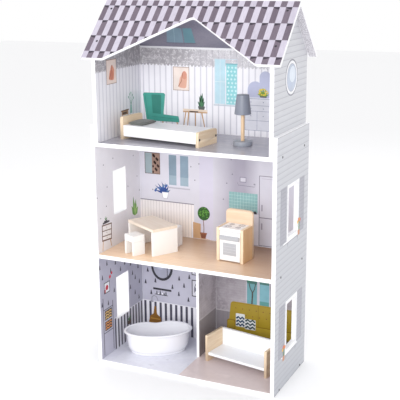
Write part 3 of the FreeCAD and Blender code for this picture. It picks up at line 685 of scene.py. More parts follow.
def kitchen_rear_paint(tree, x, y, z, place):
    wall = mixed(tree, cloud(tree, place, 0.3, (1, 1, 1), 2.0), tone(205, 204, 215), tone(213, 212, 223))
    # Painted shade: the right part of the rear wall is darkened towards (162, 158, 174) where the right side
    # wall shades it. The shade eases off again beside the printed tall cupboard.
    painted_shade_in = ramp(tree, x, -0.02, 0.06)
    painted_shade_out = ramp(tree, x, 0.145, 0.09, 0.1)
    wall = mixed(tree, times(tree, painted_shade_in, painted_shade_out), wall, tone(162, 158, 174))
    recess = between(tree, x, -0.068, -0.019, 0.001)
    wall = mixed(tree, recess, wall, tone(206, 203, 220))
    beads = lines(tree, x, 0.0108, 0.0, 0.0011)["Mask"]
    dado = times(tree, between(tree, z, 0.3, 0.484, 0.0005), between(tree, x, -0.3, -0.088, 0.0005))
    warm = mixed(tree, between(tree, z, 0.3, 0.43, 0.03), tone(234, 229, 230), tone(245, 234, 226))
    panel = mixed(tree, times(tree, beads, 0.5), warm, tone(158, 146, 150))
    wall = mixed(tree, dado, wall, panel)
    rail = times(tree, between(tree, z, 0.4815, 0.4845, 0.0003), between(tree, x, -0.3, -0.088, 0.0005))
    return mixed(tree, rail, wall, tone(126, 122, 136))


def plain_wall_paint(tree, x, y, z, place):
    return mixed(tree, cloud(tree, place, 0.25, (1, 1, 1), 2.0), tone(232, 231, 238), tone(238, 237, 243))


def plank_paint(light, dark, seam, wide, shade=None):
    """Lengthwise planks with staggered joints and drawn grain, with painted shade towards the rear and right
    when shade is given.
    """
    def paint(tree, x, y, z, place):
        rows = lines(tree, y, wide, 0.0, 0.0012, 0.0012)
        shifted = plus(tree, x, times(tree, rows["Number"], 0.087))
        ends = lines(tree, shifted, 0.21, 0.0, 0.0012, 0.0012)
        plank = node(tree, "ShaderNodeTexWhiteNoise", {"Vector": node(tree, "ShaderNodeCombineXYZ",
                {0: rows["Number"], 1: ends["Number"]}).outputs[0]}).outputs[0]
        grain = cloud(tree, place, 0.008, (9, 1, 1), 6.0)
        board = mixed(tree, plus(tree, times(tree, grain, 0.5), times(tree, plank, 0.4)),
                      tone(*light), tone(*dark))
        # Painted shade: the planks darken to the shade colour towards the rear wall and the right-hand
        # corner.
        if shade:
            rear = ramp(tree, y, -0.09, 0.138, end=0.56)
            corner = ramp(tree, x, 0.0, 0.26, end=0.44)
            board = mixed(tree, plus(tree, rear, corner), board, tone(*shade))
        seams = times(tree, calc(tree, "MAXIMUM", rows["Mask"], ends["Mask"]), 0.2)
        return mixed(tree, seams, board, tone(*seam))
    return paint


paper("kitchen_back_paper", [oblong(-287.4, 287.4, KITCHEN_LOW, KITCHEN_HIGH)], flat_on("back", BACK_INNER),
      paper_print("kitchen rear print", kitchen_rear_paint))
kitchen_side_print = paper_print("kitchen side print", plain_wall_paint)
paper("kitchen_left_paper", [oblong(FRONT_EDGE, REAR_EDGE, KITCHEN_LOW, KITCHEN_HIGH), UPPER_WINDOW],
      flat_on("left", LEFT_INNER), kitchen_side_print)
paper("kitchen_right_paper", [oblong(FRONT_EDGE, REAR_EDGE, KITCHEN_LOW, KITCHEN_HIGH), UPPER_WINDOW],
      flat_on("right", RIGHT_INNER), kitchen_side_print)
# The kitchen floor has painted shade, darkening to (112, 66, 38) towards the rear and the right.
paper("kitchen_floor_paper", [oblong(-287.4, 287.4, FRONT_EDGE, REAR_EDGE)], flat_on("floor", KITCHEN_TOP),
      paper_print("kitchen floor print", plank_paint((255, 226, 196), (248, 212, 178), (192, 148, 114), 0.031,
        (112, 66, 38)), 0.0, 0.06))

speck, timber = (118, 116, 130), (198, 160, 122)


def dart(x, z):
    """A tiny triangle of the wall print."""
    return ([[(x - 2.6, z - 2.6), (x + 2.6, z - 2.6), (x, z + 2.6)]], speck, 1)


def leafy(x, z, tips, width, colour, layer):
    """Pointed leaves from one root."""
    made = []
    for tip_x, tip_z in tips:
        lean = Vector((tip_x - x, tip_z - z))
        side = Vector((-lean.y, lean.x)).normalized() * width / 2
        belly = Vector((x, z)) + lean * 0.35
        made.append(([[(x, z), tuple(belly - side), (tip_x, tip_z), tuple(belly + side)]], colour, layer))
    return made


kitchen_shapes = [dart(x, z) for x, z in ((29, 567), (123, 572), (17, 513), (-69, 622), (-84, 566), (48, 598),
    (44, 645), (-120, 660), (-250, 668), (-200, 520), (-240, 520), (-98, 610), (90, 650))]
kitchen_shapes += [(ring(-268, -211, 573, 645, 1.8), (86, 62, 52), 1),
    slab(-266.2, -241, 574.8, 643.2, (148, 164, 170), 1), slab(-241, -212.8, 574.8, 643.2, (150, 122, 108),
    1)]
for blot in range(26):
    kitchen_shapes.append(spot((70, 44, 40), 2, -237 + (blot * 17) % 21, 580 + (blot * 23) % 58, 7, 9, 9))
kitchen_shapes += [(ring(-182, -104, 538, 646, 3.4), (214, 214, 226), 1),
    slab(-178.6, -151, 541.4, 642.6, (126, 148, 164), 1), slab(-137, -107.4, 541.4, 642.6, (132, 154, 172),
    1), slab(-151, -137, 541.4, 642.6, (208, 208, 221), 1), slab(-178.6, -151, 541.4, 574, (148, 168, 182),
    2), slab(-137, -107.4, 541.4, 570, (152, 172, 186), 2), slab(-184, -102, 530, 534, (178, 176, 190), 2)]
kitchen_shapes += leafy(-193, 510, [(-232, 536), (-222, 544), (-206, 550), (-192, 546), (-180, 538),
    (-174, 524), (-236, 520)], 8, (36, 70, 138), 2)
for number in range(11):
    kitchen_shapes.append(spot((44 + number * 6, 84 + number * 5, 160), 3, -230 + (number * 41) % 54, 516
        + (number * 19) % 24, 8, 6, 9))
kitchen_shapes += [rounded([(-202, 493, 3), (-185, 493, 3), (-181, 515, 1), (-206, 515, 1)], (150, 150, 168),
    4), rounded([(-201, 494, 3), (-186, 494, 3), (-182, 514, 1), (-205, 514, 1)], (246, 247, 252), 5)]
kitchen_shapes += [slab(37, 135, 478, 540, (134, 176, 178), 1)]
for row in range(1, 6):
    kitchen_shapes.append(slab(37, 135, 478 + row * 10.3, 478.9 + row * 10.3, (176, 210, 208), 2))
for column in range(1, 10):
    kitchen_shapes.append(slab(37 + column * 9.8, 37.9 + column * 9.8, 478, 540, (176, 210, 208), 3))
kitchen_shapes += [(ring(74, 96, 574, 591, 2), (120, 118, 134), 1),
    slab(76, 94, 576, 589, (196, 194, 206), 1), penned([(66, 572), (68, 564), (124, 562), (127, 572)], 1.6,
    (120, 118, 134), 1), (ring(140, 198, 371, 601, 1.8), (110, 104, 124), 1),
    slab(141.5, 196.5, 463, 465.4, (110, 104, 124), 1), slab(148, 192, 591, 592.2, (168, 164, 180), 1),
    slab(148, 152, 425, 446, (146, 142, 160), 1), slab(148, 152, 486, 507, (146, 142, 160), 1),
    slab(36, 139, 372, 474, (226, 224, 234), 1), slab(36, 139, 472, 478, (196, 192, 206), 2),
    rounded([(118, 474, 2), (134, 474, 2), (130, 483, 3), (122, 483, 3)], (52, 50, 60), 3)]
kitchen_shapes += [([[(-93, 369), (-64, 369), (-64, 420), (-93, 424)]], timber, 2),
    slab(-96, -92, 369, 425, (240, 240, 246), 3), ([[(-64, 369), (-30, 369), (-64, 374)]], timber, 3)]
kitchen_shapes += [penned([(-54, 376), (-52.6, 404), (-54, 434)], 2.2, (120, 84, 56), 4),
    spot((40, 84, 34), 5, -53, 456, 44, 46, 26)]
generator = random.Random(7)
for number in range(60):
    swing, reach = generator.uniform(0, math.tau), generator.uniform(2, 20)
    shade = generator.choice([(78, 140, 52), (34, 74, 30), (104, 162, 64), (52, 108, 40)])
    leaf_at = (-53 + reach * math.cos(swing), 456 + reach * math.sin(swing))
    kitchen_shapes.append(spot(shade, 6 + number % 3, leaf_at[0], leaf_at[1], 6.4, 3.6, 8, swing))
kitchen_shapes += [([[(-62, 371), (-47, 371), (-43, 387), (-66, 387)]], (130, 78, 58), 5),
    slab(-67, -42, 386, 391, (150, 94, 70), 6)]
motifs("kitchen_back_motifs", kitchen_shapes, flat_on("back", BACK_INNER))

cupboard_edge = (100, 66, 50)
kitchen_left_shapes = [dart(y, z) for y, z in ((-35, 656), (-94, 646), (-76, 572), (-84, 511), (118, 566),
    (132, 515), (56, 545), (-137, 550), (20, 680), (96, 640), (-120, 480), (60, 430))]
kitchen_left_shapes += [([[(-115, 455), (-55, 450), (-58, 396), (-116, 402)],
    [(-111.5, 451), (-59, 446.6), (-61.5, 400.4), (-112.5, 406)]], cupboard_edge, 1),
    ([[(-111.5, 451), (-59, 446.6), (-61.5, 400.4), (-112.5, 406)]], (240, 238, 240), 1),
    penned([(-114, 435), (-58, 430)], 2.8, cupboard_edge, 2), penned([(-114, 418), (-58, 413)], 2.8,
    cupboard_edge, 2), penned([(-110, 402), (-114, 370)], 3.4, timber, 2),
    penned([(-66, 398), (-60, 374)], 3.4, timber, 2), slab(-109, -69, 456, 462, (54, 52, 60), 2),
    slab(-101, -81, 462, 466, (54, 52, 60), 2)]
kitchen_left_shapes += [spot(cupboard_edge, 3, -86, z, 3, steps=10) for z in (442, 425, 409)]
kitchen_left_shapes += leafy(-90, 466, [(-98, 476), (-90, 481), (-82, 475)], 4, (76, 130, 84), 3)
kitchen_left_shapes += leafy(98, 434, [(88, 502), (106, 490), (120, 462), (76, 472)], 19, (104, 158, 74), 1)
kitchen_left_shapes += leafy(100, 434, [(94, 486), (111, 472)], 10, (146, 190, 104), 2)
kitchen_left_shapes += [slab(72, 125, 422, 432, (226, 226, 232), 2)]
motifs("kitchen_left_motifs", kitchen_left_shapes, flat_on("left", LEFT_INNER))
motifs("kitchen_right_motifs", [dart(-120 + 52 * (i % 6) + 18 * (i // 6 % 2), 410 + 62 * (i // 6))
    for i in range(30) if not (-48 < -120 + 52 * (i % 6) + 18 * (i // 6 % 2) < 52 and 462 < 410 + 62
    * (i // 6) < 622) and -120 + 52 * (i % 6) + 18 * (i // 6 % 2) < 134], flat_on("right", RIGHT_INNER))

# Attic bedroom ----------------------------------------------------------------------------------
# Beaded lilac-white paper under a lace frieze, on a grey boarded floor. The green wing chair, the
# side table, pictures, curtain and chest of drawers are printed on the walls.
ATTIC_FLOOR_TOP, GABLE_INNER = 0.724, 0.276


def beaded_paint(along, frieze_from_left):
    def paint(tree, x, y, z, place):
        across = (x, y)[along]
        beads = lines(tree, across, 0.0205, 0.0, 0.0016, 0.0006)["Mask"]
        bevels = lines(tree, across, 0.0205, 0.0016, 0.003, 0.0018)["Mask"]
        wall = mixed(tree, cloud(tree, place, 0.2, (1, 1, 1), 2.0), tone(240, 239, 245), tone(246, 245, 250))
        wall = mixed(tree, times(tree, bevels, 0.3), wall, tone(198, 196, 208))
        wall = mixed(tree, times(tree, beads, 0.55), wall, tone(166, 164, 180))
        thread = cloud(tree, place, 0.0028, (1, 1, 1), 2.0, 0.46, 0.56)
        rosette = cloud(tree, place, 0.011, (1, 1, 1), 3.0, 0.42, 0.58)
        lace = mixed(tree, times(tree, thread, rosette), tone(160, 156, 162), tone(222, 220, 222))
        scallop = times(tree, calc(tree, "ABSOLUTE", calc(tree, "SINE", times(tree, across, 260))), 0.006)
        hem = plus(tree, z, scallop)
        edge = ramp(tree, hem, 0.9385, 0.9395)
        if frieze_from_left:
            fade = ramp(tree, across, -0.15, 0.02, 0.95, 0.55)
            edge = times(tree, edge, fade)
        return mixed(tree, edge, wall, lace)
    return paint


def gable_outline(rear, low):
    """The inside or outside of a gable wall, a little inside its edges."""
    return [(FRONT_EDGE, low), (rear, low), (rear, GABLE_PEAK - rear), (0, GABLE_PEAK),
            (FRONT_EDGE, GABLE_PEAK + FRONT_EDGE)]


paper("attic_back_paper", [oblong(-ATTIC_HALF, ATTIC_HALF, ATTIC_LOW, ATTIC_HIGH)],
      flat_on("back", BACK_INNER), paper_print("attic rear print", beaded_paint(0, True)))
attic_side_print = paper_print("attic side print", beaded_paint(1, False))
paper("attic_left_paper", [gable_outline(137.4, ATTIC_LOW)], flat_on("left", -GABLE_INNER), attic_side_print)
paper("attic_right_paper", [gable_outline(137.4, ATTIC_LOW)], flat_on("right", GABLE_INNER), attic_side_print)
paper("attic_floor_paper", [oblong(-ATTIC_HALF, ATTIC_HALF, FRONT_EDGE, REAR_EDGE)],
      flat_on("floor", ATTIC_FLOOR_TOP), paper_print("attic floor print",
        plank_paint((182, 180, 188), (166, 164, 176), (146, 144, 158), 0.028), 0.04, 0.16))

chair_green, chair_shade, frame_brown = (70, 162, 148), (50, 132, 120), (150, 112, 90)
attic_shapes = [rounded([(-270, 843, 7), (-187, 845, 7), (-194, 780, 3), (-190, 752, 2), (-257, 752, 3)],
    chair_green, 1), rounded([(-238, 838, 4), (-202, 838, 4), (-204, 774, 3), (-234, 774, 3)], chair_shade,
    2), rounded([(-246, 778, 3), (-140, 772, 5), (-137, 752, 3), (-252, 752, 3)], chair_green, 3),
    penned([(-236, 766), (-140, 762)], 1.2, chair_shade, 4), penned([(-262, 836), (-250, 758)], 1.4,
    chair_shade, 3), ([[(-246, 752), (-241, 752), (-243, 741), (-246, 741)]], timber, 3),
    ([[(-200, 752), (-195, 752), (-196, 741), (-199, 741)]], timber, 3),
    ([[(-149, 752), (-144, 752), (-140, 741), (-143, 741)]], timber, 3)]
attic_shapes += [(ring(-158, -101, 856, 931, 1.6), frame_brown, 1),
    slab(-156.4, -102.6, 857.6, 929.4, (240, 226, 218), 1), rounded([(-140, 866, 6), (-112, 862, 8),
    (-108, 900, 8), (-120, 918, 6), (-134, 896, 8)], (226, 174, 152), 2),
    spot((214, 150, 128), 3, -118, 905, 18, 26), penned([(-140, 868), (-128, 886), (-124, 912)], 2,
    (170, 108, 86), 4)]
attic_shapes += [slab(-124, -38, 791, 798, (232, 214, 196), 2), slab(-124, -38, 787, 791, timber, 2),
    slab(-101, -70, 788, 792, (74, 52, 42), 3), ([[(-106, 787), (-101, 787), (-107, 741), (-110, 741)]],
    timber, 1), ([[(-82, 787), (-78, 787), (-78.5, 739), (-81.5, 739)]], timber, 1),
    ([[(-60, 787), (-55, 787), (-46, 741), (-49, 741)]], timber, 1),
    ([[(-116, 787), (-112, 787), (-120, 744), (-123, 744)]], timber, 1),
    rounded([(-68, 798, 1), (-49, 798, 1), (-46, 809, 2), (-71, 809, 2)], (88, 96, 92), 4)]
attic_shapes += leafy(-58.5, 806, [(-55, 853), (-66, 841), (-47, 825), (-72, 824), (-59, 846), (-50, 838),
    (-62, 848)], 10, (38, 92, 62), 3)
attic_shapes += leafy(-58.5, 806, [(-57, 838), (-64, 828), (-51, 826)], 5, (74, 130, 88), 5)
attic_shapes += [(ring(-13, 64, 819, 961, 1.6), (204, 220, 230), 1),
    slab(-11, 24, 821, 959, (188, 220, 232), 1), slab(5.6, 7, 821, 959, (220, 234, 240), 2),
    slab(-11, 24, 889, 890.6, (220, 234, 240), 3), slab(27, 63, 820, 946, (142, 208, 214), 1),
    slab(25, 65, 944, 947.5, (120, 180, 190), 2), slab(-16, 68, 814, 818, (196, 204, 214), 1)]
for row in range(10):
    for column in range(3):
        attic_shapes.append(spot((206, 236, 238), 2, 32 + 12 * column + 3 * (row % 2), 827 + 12 * row, 6.6,
            steps=12))
lilac_arch, chest_line = (186, 190, 216), (150, 154, 178)
for arch_left, arch_right, arch_low, arch_high in ((99, 150, 846, 896), (138, 176, 846, 928)):
    half_wide = (arch_right - arch_left) / 2
    crown = [(arch_left + half_wide + half_wide * math.cos(math.pi * i / 14), arch_high - half_wide
              + half_wide * math.sin(math.pi * i / 14)) for i in range(15)]
    attic_shapes.append(([[(arch_right, arch_low)] + crown + [(arch_left, arch_low)]], lilac_arch, 1))
attic_shapes += [slab(88, 174, 843, 847, (216, 218, 230), 2), (ring(90, 172, 743, 843, 1.2), chest_line, 1),
    slab(91.2, 170.8, 744.2, 841.8, (224, 225, 234), 1), slab(92, 170, 821, 822.2, chest_line, 2),
    slab(92, 170, 803.4, 804.6, chest_line, 2), slab(130, 131.2, 745, 803, chest_line, 2),
    slab(92, 170, 774, 775.2, chest_line, 3)]
attic_shapes += [spot(chest_line, 3, x, z, 3.4, steps=10) for x in (110, 151) for z in (812, 832, 789)]
attic_shapes += [rounded([(140, 847, 1), (161, 847, 1), (164, 857, 1), (137, 857, 1)], (92, 92, 98), 3)]
attic_shapes += leafy(150, 852, [(134, 866), (140, 874), (150, 878), (160, 874), (167, 864), (130, 858),
    (170, 857)], 7, (120, 156, 66), 4)
for number in range(15):
    swing = number * 2.4
    attic_shapes.append(spot((232, 206, 62), 5 + number % 2, 150 + 17 * math.cos(swing) * (0.4 + number / 25),
        864 + 9 * math.sin(swing), 5.4, steps=9))
motifs("attic_back_motifs", attic_shapes, flat_on("back", BACK_INNER))

attic_left_shapes = [(ring(-78, -18, 892, 967, 1.8), frame_brown, 1),
    slab(-76.2, -19.8, 893.8, 965.2, (240, 222, 212), 1), rounded([(-66, 906, 6), (-34, 902, 8),
    (-30, 934, 8), (-46, 954, 6), (-58, 930, 8)], (224, 150, 120), 2),
    spot((206, 122, 94), 3, -48, 920, 22, 30), penned([(-62, 908), (-50, 926), (-44, 950)], 2, (150, 84, 66),
    4), slab(4, 54, 797, 801, (120, 86, 66), 1), slab(8, 50, 785, 797, (176, 136, 108), 1),
    slab(14, 40, 788, 794, (84, 62, 52), 2), ([[(8, 785), (12, 785), (8, 745), (5, 745)]], timber, 1),
    ([[(46, 785), (50, 785), (55, 745), (52, 745)]], timber, 1),
    rounded([(62, 785, 1), (76, 785, 1), (73, 812, 2), (65, 812, 2)], (150, 196, 186), 1)]
for tip in ((54, 838), (62, 846), (70, 850), (78, 842), (86, 832)):
    attic_left_shapes.append(penned([(69, 810), ((69 + tip[0]) / 2 + 1, 826), tip], 1.2, (112, 160, 144), 2))
    attic_left_shapes.append(spot((132, 178, 158), 3, tip[0], tip[1], 5, 8, 9))
motifs("attic_left_motifs", attic_left_shapes, flat_on("left", -GABLE_INNER))

# Siding outside ---------------------------------------------------------------------------------
# Both side walls and gables are printed outside as pale lapped boards, with grey shutters, white
# window surrounds with sills, potted flowers and a round gable window.
SIDE_OUTER, GABLE_OUTER = 0.300, 0.288


def siding_paint(tree, x, y, z, place):
    lap = lines(tree, z, 0.0172, 0.0035, 0.0012, 0.0004)["Mask"]
    shade = lines(tree, z, 0.0172, 0.0062, 0.0034, 0.0024)["Mask"]
    height = ramp(tree, z, 0.0, 1.0)
    base = mixed(tree, height, tone(184, 187, 194), tone(211, 212, 217))
    streaks = cloud(tree, place, 0.006, (1, 12, 1), 5.0, 0.3, 0.75)
    base = mixed(tree, times(tree, streaks, 0.35), base, tone(190, 190, 197))
    base = mixed(tree, times(tree, shade, 0.2), base, tone(178, 178, 188))
    return mixed(tree, times(tree, lap, 0.55), base, tone(146, 145, 156))


siding_print = paper_print("siding print", siding_paint)


def outside(side):
    """Places on the outside of the left (-1) or right (1) side wall or gable."""
    return (lambda u, v, w: (side * (SIDE_OUTER + w), u, v)), (lambda u, v,
            w: (side * (GABLE_OUTER + w), u, v))


for side, hand in ((-1, "left"), (1, "right")):
    on_side, on_gable = outside(side)
    paper(hand + "_siding_paper", [oblong(FRONT_EDGE, 137.0, 0.8, 779.2), LOWER_WINDOW, UPPER_WINDOW],
          on_side, siding_print)
    paper(hand + "_gable_paper", [gable_outline(137.4, 781)], on_gable, siding_print)
    shutter, shutter_line, surround_white = (170, 170, 180), (140, 140, 153), (247, 247, 250)
    outer_shapes = []
    for low, high in ((102, 270), (458, 626)):
        for near, far in ((-108, -57), (51, 101)):
            outer_shapes.append(slab(near, far, low, high, shutter, 1))
            outer_shapes.append(([ring(near + 3, far - 3, low + 4, high - 4, 1.2)][0], shutter_line, 2))
            for slat in range(1, 14):
                level = low + 4 + slat * (high - low - 8) / 14
                outer_shapes.append(slab(near + 5, far - 5, level, level + 1.0, shutter_line, 2))
        outer_shapes.append((ring(-50, 54, low, high, 10.6), surround_white, 3))
        outer_shapes.append(slab(-80, 60, low - 5, low, surround_white, 3))
        outer_shapes.append(slab(-81, 61, low - 6.4, low - 5, shutter_line, 3))
        for bracket in (-44, 42):
            outer_shapes.append(([[(bracket, low - 6.4), (bracket + 6, low - 6.4), (bracket + 3, low - 22)]],
                shutter_line, 2))
        outer_shapes.append(slab(-44, 48, low - 8.4, low - 6.4, shutter, 2))
    for flower_y, flower_low, bloom, stalk in ((56, 462, (206, 86, 84), 30), (-61, 98, (214, 70, 60), 26)):
        outer_shapes += [rounded([(flower_y - 8, flower_low - 12, 2), (flower_y + 8, flower_low - 12, 2),
            (flower_y + 10, flower_low + 4, 1), (flower_y - 10, flower_low + 4, 1)], (196, 138, 108), 5)]
        for k, lean in enumerate((-9, -3, 4, 10)):
            tip = (flower_y + lean, flower_low + stalk + (k * 7) % 9)
            outer_shapes.append(penned([(flower_y + lean / 4, flower_low + 3), tip], 1.6, (88, 132, 76), 4))
            colour = bloom if k % 2 else (236, 186, 66)
            outer_shapes += petals(tip[0], tip[1], 11, colour, 6 + k)
    motifs(hand + "_siding_motifs", outer_shapes, on_side)
    centre_y, centre_z = 2, 930
    round_window = [spot((132, 132, 144), 1, centre_y, centre_z, 104, 104, 48),
        spot((242, 242, 246), 2, centre_y, centre_z, 96, 96, 48),
        spot((150, 152, 170), 3, centre_y, centre_z, 80, 80, 48),
        spot((190, 199, 216), 4, centre_y, centre_z, 77, 77, 48),
        spot((222, 230, 241), 5, centre_y + 6, centre_z + 9, 50, 46, 40),
        spot((190, 200, 220), 5, centre_y - 14, centre_z - 20, 30, 18, 30)]
    motifs(hand + "_round_window", round_window, on_gable)

# Roof prints ------------------------------------------------------------------------------------
# Outside, both slopes carry five rows of alternating dark and pale shingles, set half a step apart,
# with a heavy shadow at the head of each dark one. The rear slope is misty lilac-grey underneath.
RIDGE, SQRT2 = 1.143, math.sqrt(2)


def on_slope(toward):
    """Places (along the ridge, down the slope, out) on the front (-1) or rear (1) slope."""
    return lambda u, s, w: (u, toward * (s + w) / SQRT2, RIDGE - (s - w) / SQRT2)


def shingle_paint(tree, x, y, z, place):
    down = times(tree, minus(tree, RIDGE, z), SQRT2)
    row_steps = calc(tree, "DIVIDE", plus(tree, down, 0.0372), 0.0597)
    row = calc(tree, "FLOOR", row_steps)
    in_row = times(tree, minus(tree, row_steps, row), 0.0597)
    odd = calc(tree, "PINGPONG", row, 1.0)
    steps = plus(tree, calc(tree, "DIVIDE", plus(tree, x, 0.312), 0.0367), times(tree, odd, 0.5))
    way = calc(tree, "FRACT", steps)
    dark = calc(tree, "GREATER_THAN", way, 0.5)
    across = times(tree, minus(tree, way, 0.5), 2.0)
    other_way = plus(tree, times(tree, odd, across),
                     times(tree, minus(tree, 1.0, odd), minus(tree, 1.0, across)))
    depth = plus(tree, 0.0015, times(tree, calc(tree, "SQRT", calc(tree, "ABSOLUTE", other_way)), 0.0085))
    shadow = times(tree, dark, calc(tree, "LESS_THAN", in_row, depth))
    fibre = cloud(tree, place, 0.0022, (1, 8, 8), 4.0, 0.3, 0.7)
    piece_tone = node(tree, "ShaderNodeTexWhiteNoise", {"Vector": node(tree, "ShaderNodeCombineXYZ",
            {0: calc(tree, "FLOOR", times(tree, steps, 2.0)), 1: row}).outputs[0]}).outputs[0]
    wear = plus(tree, times(tree, fibre, 0.55), times(tree, piece_tone, 0.45))
    pale = mixed(tree, wear, tone(202, 196, 210), tone(176, 170, 186))
    deep = mixed(tree, wear, tone(116, 104, 118), tone(92, 80, 94))
    lip = times(tree, calc(tree, "LESS_THAN", in_row, 0.0016), 0.35)
    pale = mixed(tree, lip, pale, tone(120, 110, 124))
    both = mixed(tree, dark, pale, deep)
    return mixed(tree, shadow, both, tone(52, 44, 58))


shingle_print = paper_print("shingle print", shingle_paint, 0.06)
front_slope = turned_corners([(-311.2, 0.8, 0), (311.2, 0.8, 0), (311.2, 228.2, 0), (240.6, 228.2, 20),
                              (0, 63, 16), (-240.6, 228.2, 20), (-311.2, 228.2, 0)])
paper("front_shingle_paper", [front_slope], on_slope(-1), shingle_print)
paper("rear_shingle_paper", [oblong(-311.2, 311.2, 9.8, 228.2)], on_slope(1), shingle_print)


def under_rear(u, s, w):
    """Places on the underside of the rear slope; out is downwards."""
    return (u, (s - w) / SQRT2, 1.13027 - (s + w) / SQRT2)


def misty_paint(tree, x, y, z, place):
    mist = cloud(tree, place, 0.11, (1.6, 1, 1), 5.0)
    base = mixed(tree, mist, tone(112, 110, 128), tone(134, 131, 146))
    fine = cloud(tree, place, 0.004, (1, 1, 1), 3.0, 0.4, 0.62)
    base = mixed(tree, times(tree, fine, 0.22), base, tone(160, 156, 168))
    lace = mixed(tree, cloud(tree, place, 0.0032, (1, 1, 1), 3.0, 0.44, 0.58), tone(186, 183, 190),
                 tone(226, 224, 229))
    overhang = node(tree, "ShaderNodeMath", {0: calc(tree, "ABSOLUTE", x), 1: 0.28},
                    operation="GREATER_THAN").outputs[0]
    return mixed(tree, overhang, base, lace)


misty_print = paper_print("misty print", misty_paint)
paper("rear_slope_lining", [oblong(-275.2, 275.2, 1.2, 192.5)], under_rear, misty_print)
for hand, near, far in (("left", -311.2, -288.8), ("right", 288.8, 311.2)):
    paper("rear_slope_overhang_" + hand, [oblong(near, far, 1.2, 218.8)], under_rear, misty_print)
motifs("rear_slope_motifs", [([[(-170, 172), (-112, 172), (-96, 104), (-146, 104)]], (126, 152, 168), 1),
    ([[(-108, 172), (-70, 172), (-62, 104), (-92, 104)]], (104, 146, 158), 1),
    penned([(-172, 174), (-68, 174)], 2, (96, 94, 112), 2), penned([(-142, 172), (-122, 104)], 1.6,
    (150, 178, 188), 2)], under_rear)

# Screws and dowels ------------------------------------------------------------------------------
# Black countersunk cross-head screws hold every board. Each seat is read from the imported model, and
# one node tree sets a chamfered head with a cross recess on every seat. Beech dowels are hidden.


def metal(name, clouding, dark, light, rough, spread, metallic):
    """Metal with brushed or scuffed patches, which are also a little rougher."""
    material, tree, shader = new_material(name)
    patches = cloud(tree, node(tree, "ShaderNodeTexCoord").outputs["Object"], *clouding)
    tree.links.new(mixed(tree, patches, tone(*dark), tone(*light)), shader.inputs["Base Color"])
    tree.links.new(plus(tree, rough, times(tree, patches, spread)), shader.inputs["Roughness"])
    shader.inputs["Metallic"].default_value = metallic
    return material


screw_black = metal("black screw", (0.0014, (1, 1, 1), 4.0, 0.45, 0.7), (58, 54, 62), (104, 100, 108), 0.34,
                    0.2, 0.6)

heads = bpy.data.node_groups.new("Cross-head screws", "GeometryNodeTree")
heads.interface.new_socket("Geometry", in_out="INPUT", socket_type="NodeSocketGeometry")
head_width = heads.interface.new_socket("Head width", in_out="INPUT", socket_type="NodeSocketFloat")
head_height = heads.interface.new_socket("Head height", in_out="INPUT", socket_type="NodeSocketFloat")
slot_width = heads.interface.new_socket("Slot width", in_out="INPUT", socket_type="NodeSocketFloat")
heads.interface.new_socket("Geometry", in_out="OUTPUT", socket_type="NodeSocketGeometry")
head_in = heads.nodes.new("NodeGroupInput").outputs
head_out = heads.nodes.new("NodeGroupOutput").inputs
head_cone = node(heads, "GeometryNodeMeshCone", {"Vertices": 28,
        "Radius Top": times(heads, head_in["Head width"], 0.42),
        "Radius Bottom": times(heads, head_in["Head width"], 0.5),
        "Depth": head_in["Head height"]}).outputs["Mesh"]
slot_long = times(heads, head_in["Head width"], 0.56)
slot_size = node(heads, "ShaderNodeCombineXYZ", {0: slot_long, 1: head_in["Slot width"],
        2: head_in["Head height"]}).outputs[0]
slot_turned = node(heads, "ShaderNodeCombineXYZ", {0: head_in["Slot width"], 1: slot_long,
        2: head_in["Head height"]}).outputs[0]
slot_lift = node(heads, "ShaderNodeCombineXYZ", {2: times(heads, head_in["Head height"], 1.1)}).outputs[0]
recess = node(heads, "GeometryNodeMeshBoolean", operation="DIFFERENCE", solver="EXACT")
heads.links.new(head_cone, recess.inputs["Mesh 1"])
for size in (slot_size, slot_turned):
    bar = node(heads, "GeometryNodeMeshCube", {"Size": size}).outputs["Mesh"]
    heads.links.new(node(heads, "GeometryNodeTransform", {"Geometry": bar,
            "Translation": slot_lift}).outputs[0], recess.inputs["Mesh 2"])
seat_axis = node(heads, "GeometryNodeInputNamedAttribute", {"Name": "axis"},
                 data_type="FLOAT_VECTOR").outputs["Attribute"]
facing = node(heads, "FunctionNodeAlignRotationToVector", {"Vector": seat_axis}, axis="Z").outputs[0]
spin = node(heads, "FunctionNodeRandomValue", data_type="FLOAT")
spin.inputs[3].default_value = math.pi / 2
spin.inputs["Seed"].default_value = 5
driven = node(heads, "FunctionNodeAxisAngleToRotation", {"Angle": spin.outputs[1]}).outputs[0]
turned_head = node(heads, "FunctionNodeRotateRotation", {"Rotation": facing, "Rotate By": driven},
                   rotation_space="LOCAL").outputs[0]
head_points = node(heads, "GeometryNodeInstanceOnPoints", {
    "Points": head_in["Geometry"], "Instance": recess.outputs["Mesh"], "Rotation": turned_head}).outputs[0]
head_solid = node(heads, "GeometryNodeRealizeInstances", {0: head_points}).outputs[0]
heads.links.new(node(heads, "GeometryNodeSetMaterial", {"Geometry": head_solid,
        "Material": screw_black}).outputs[0], head_out[0])


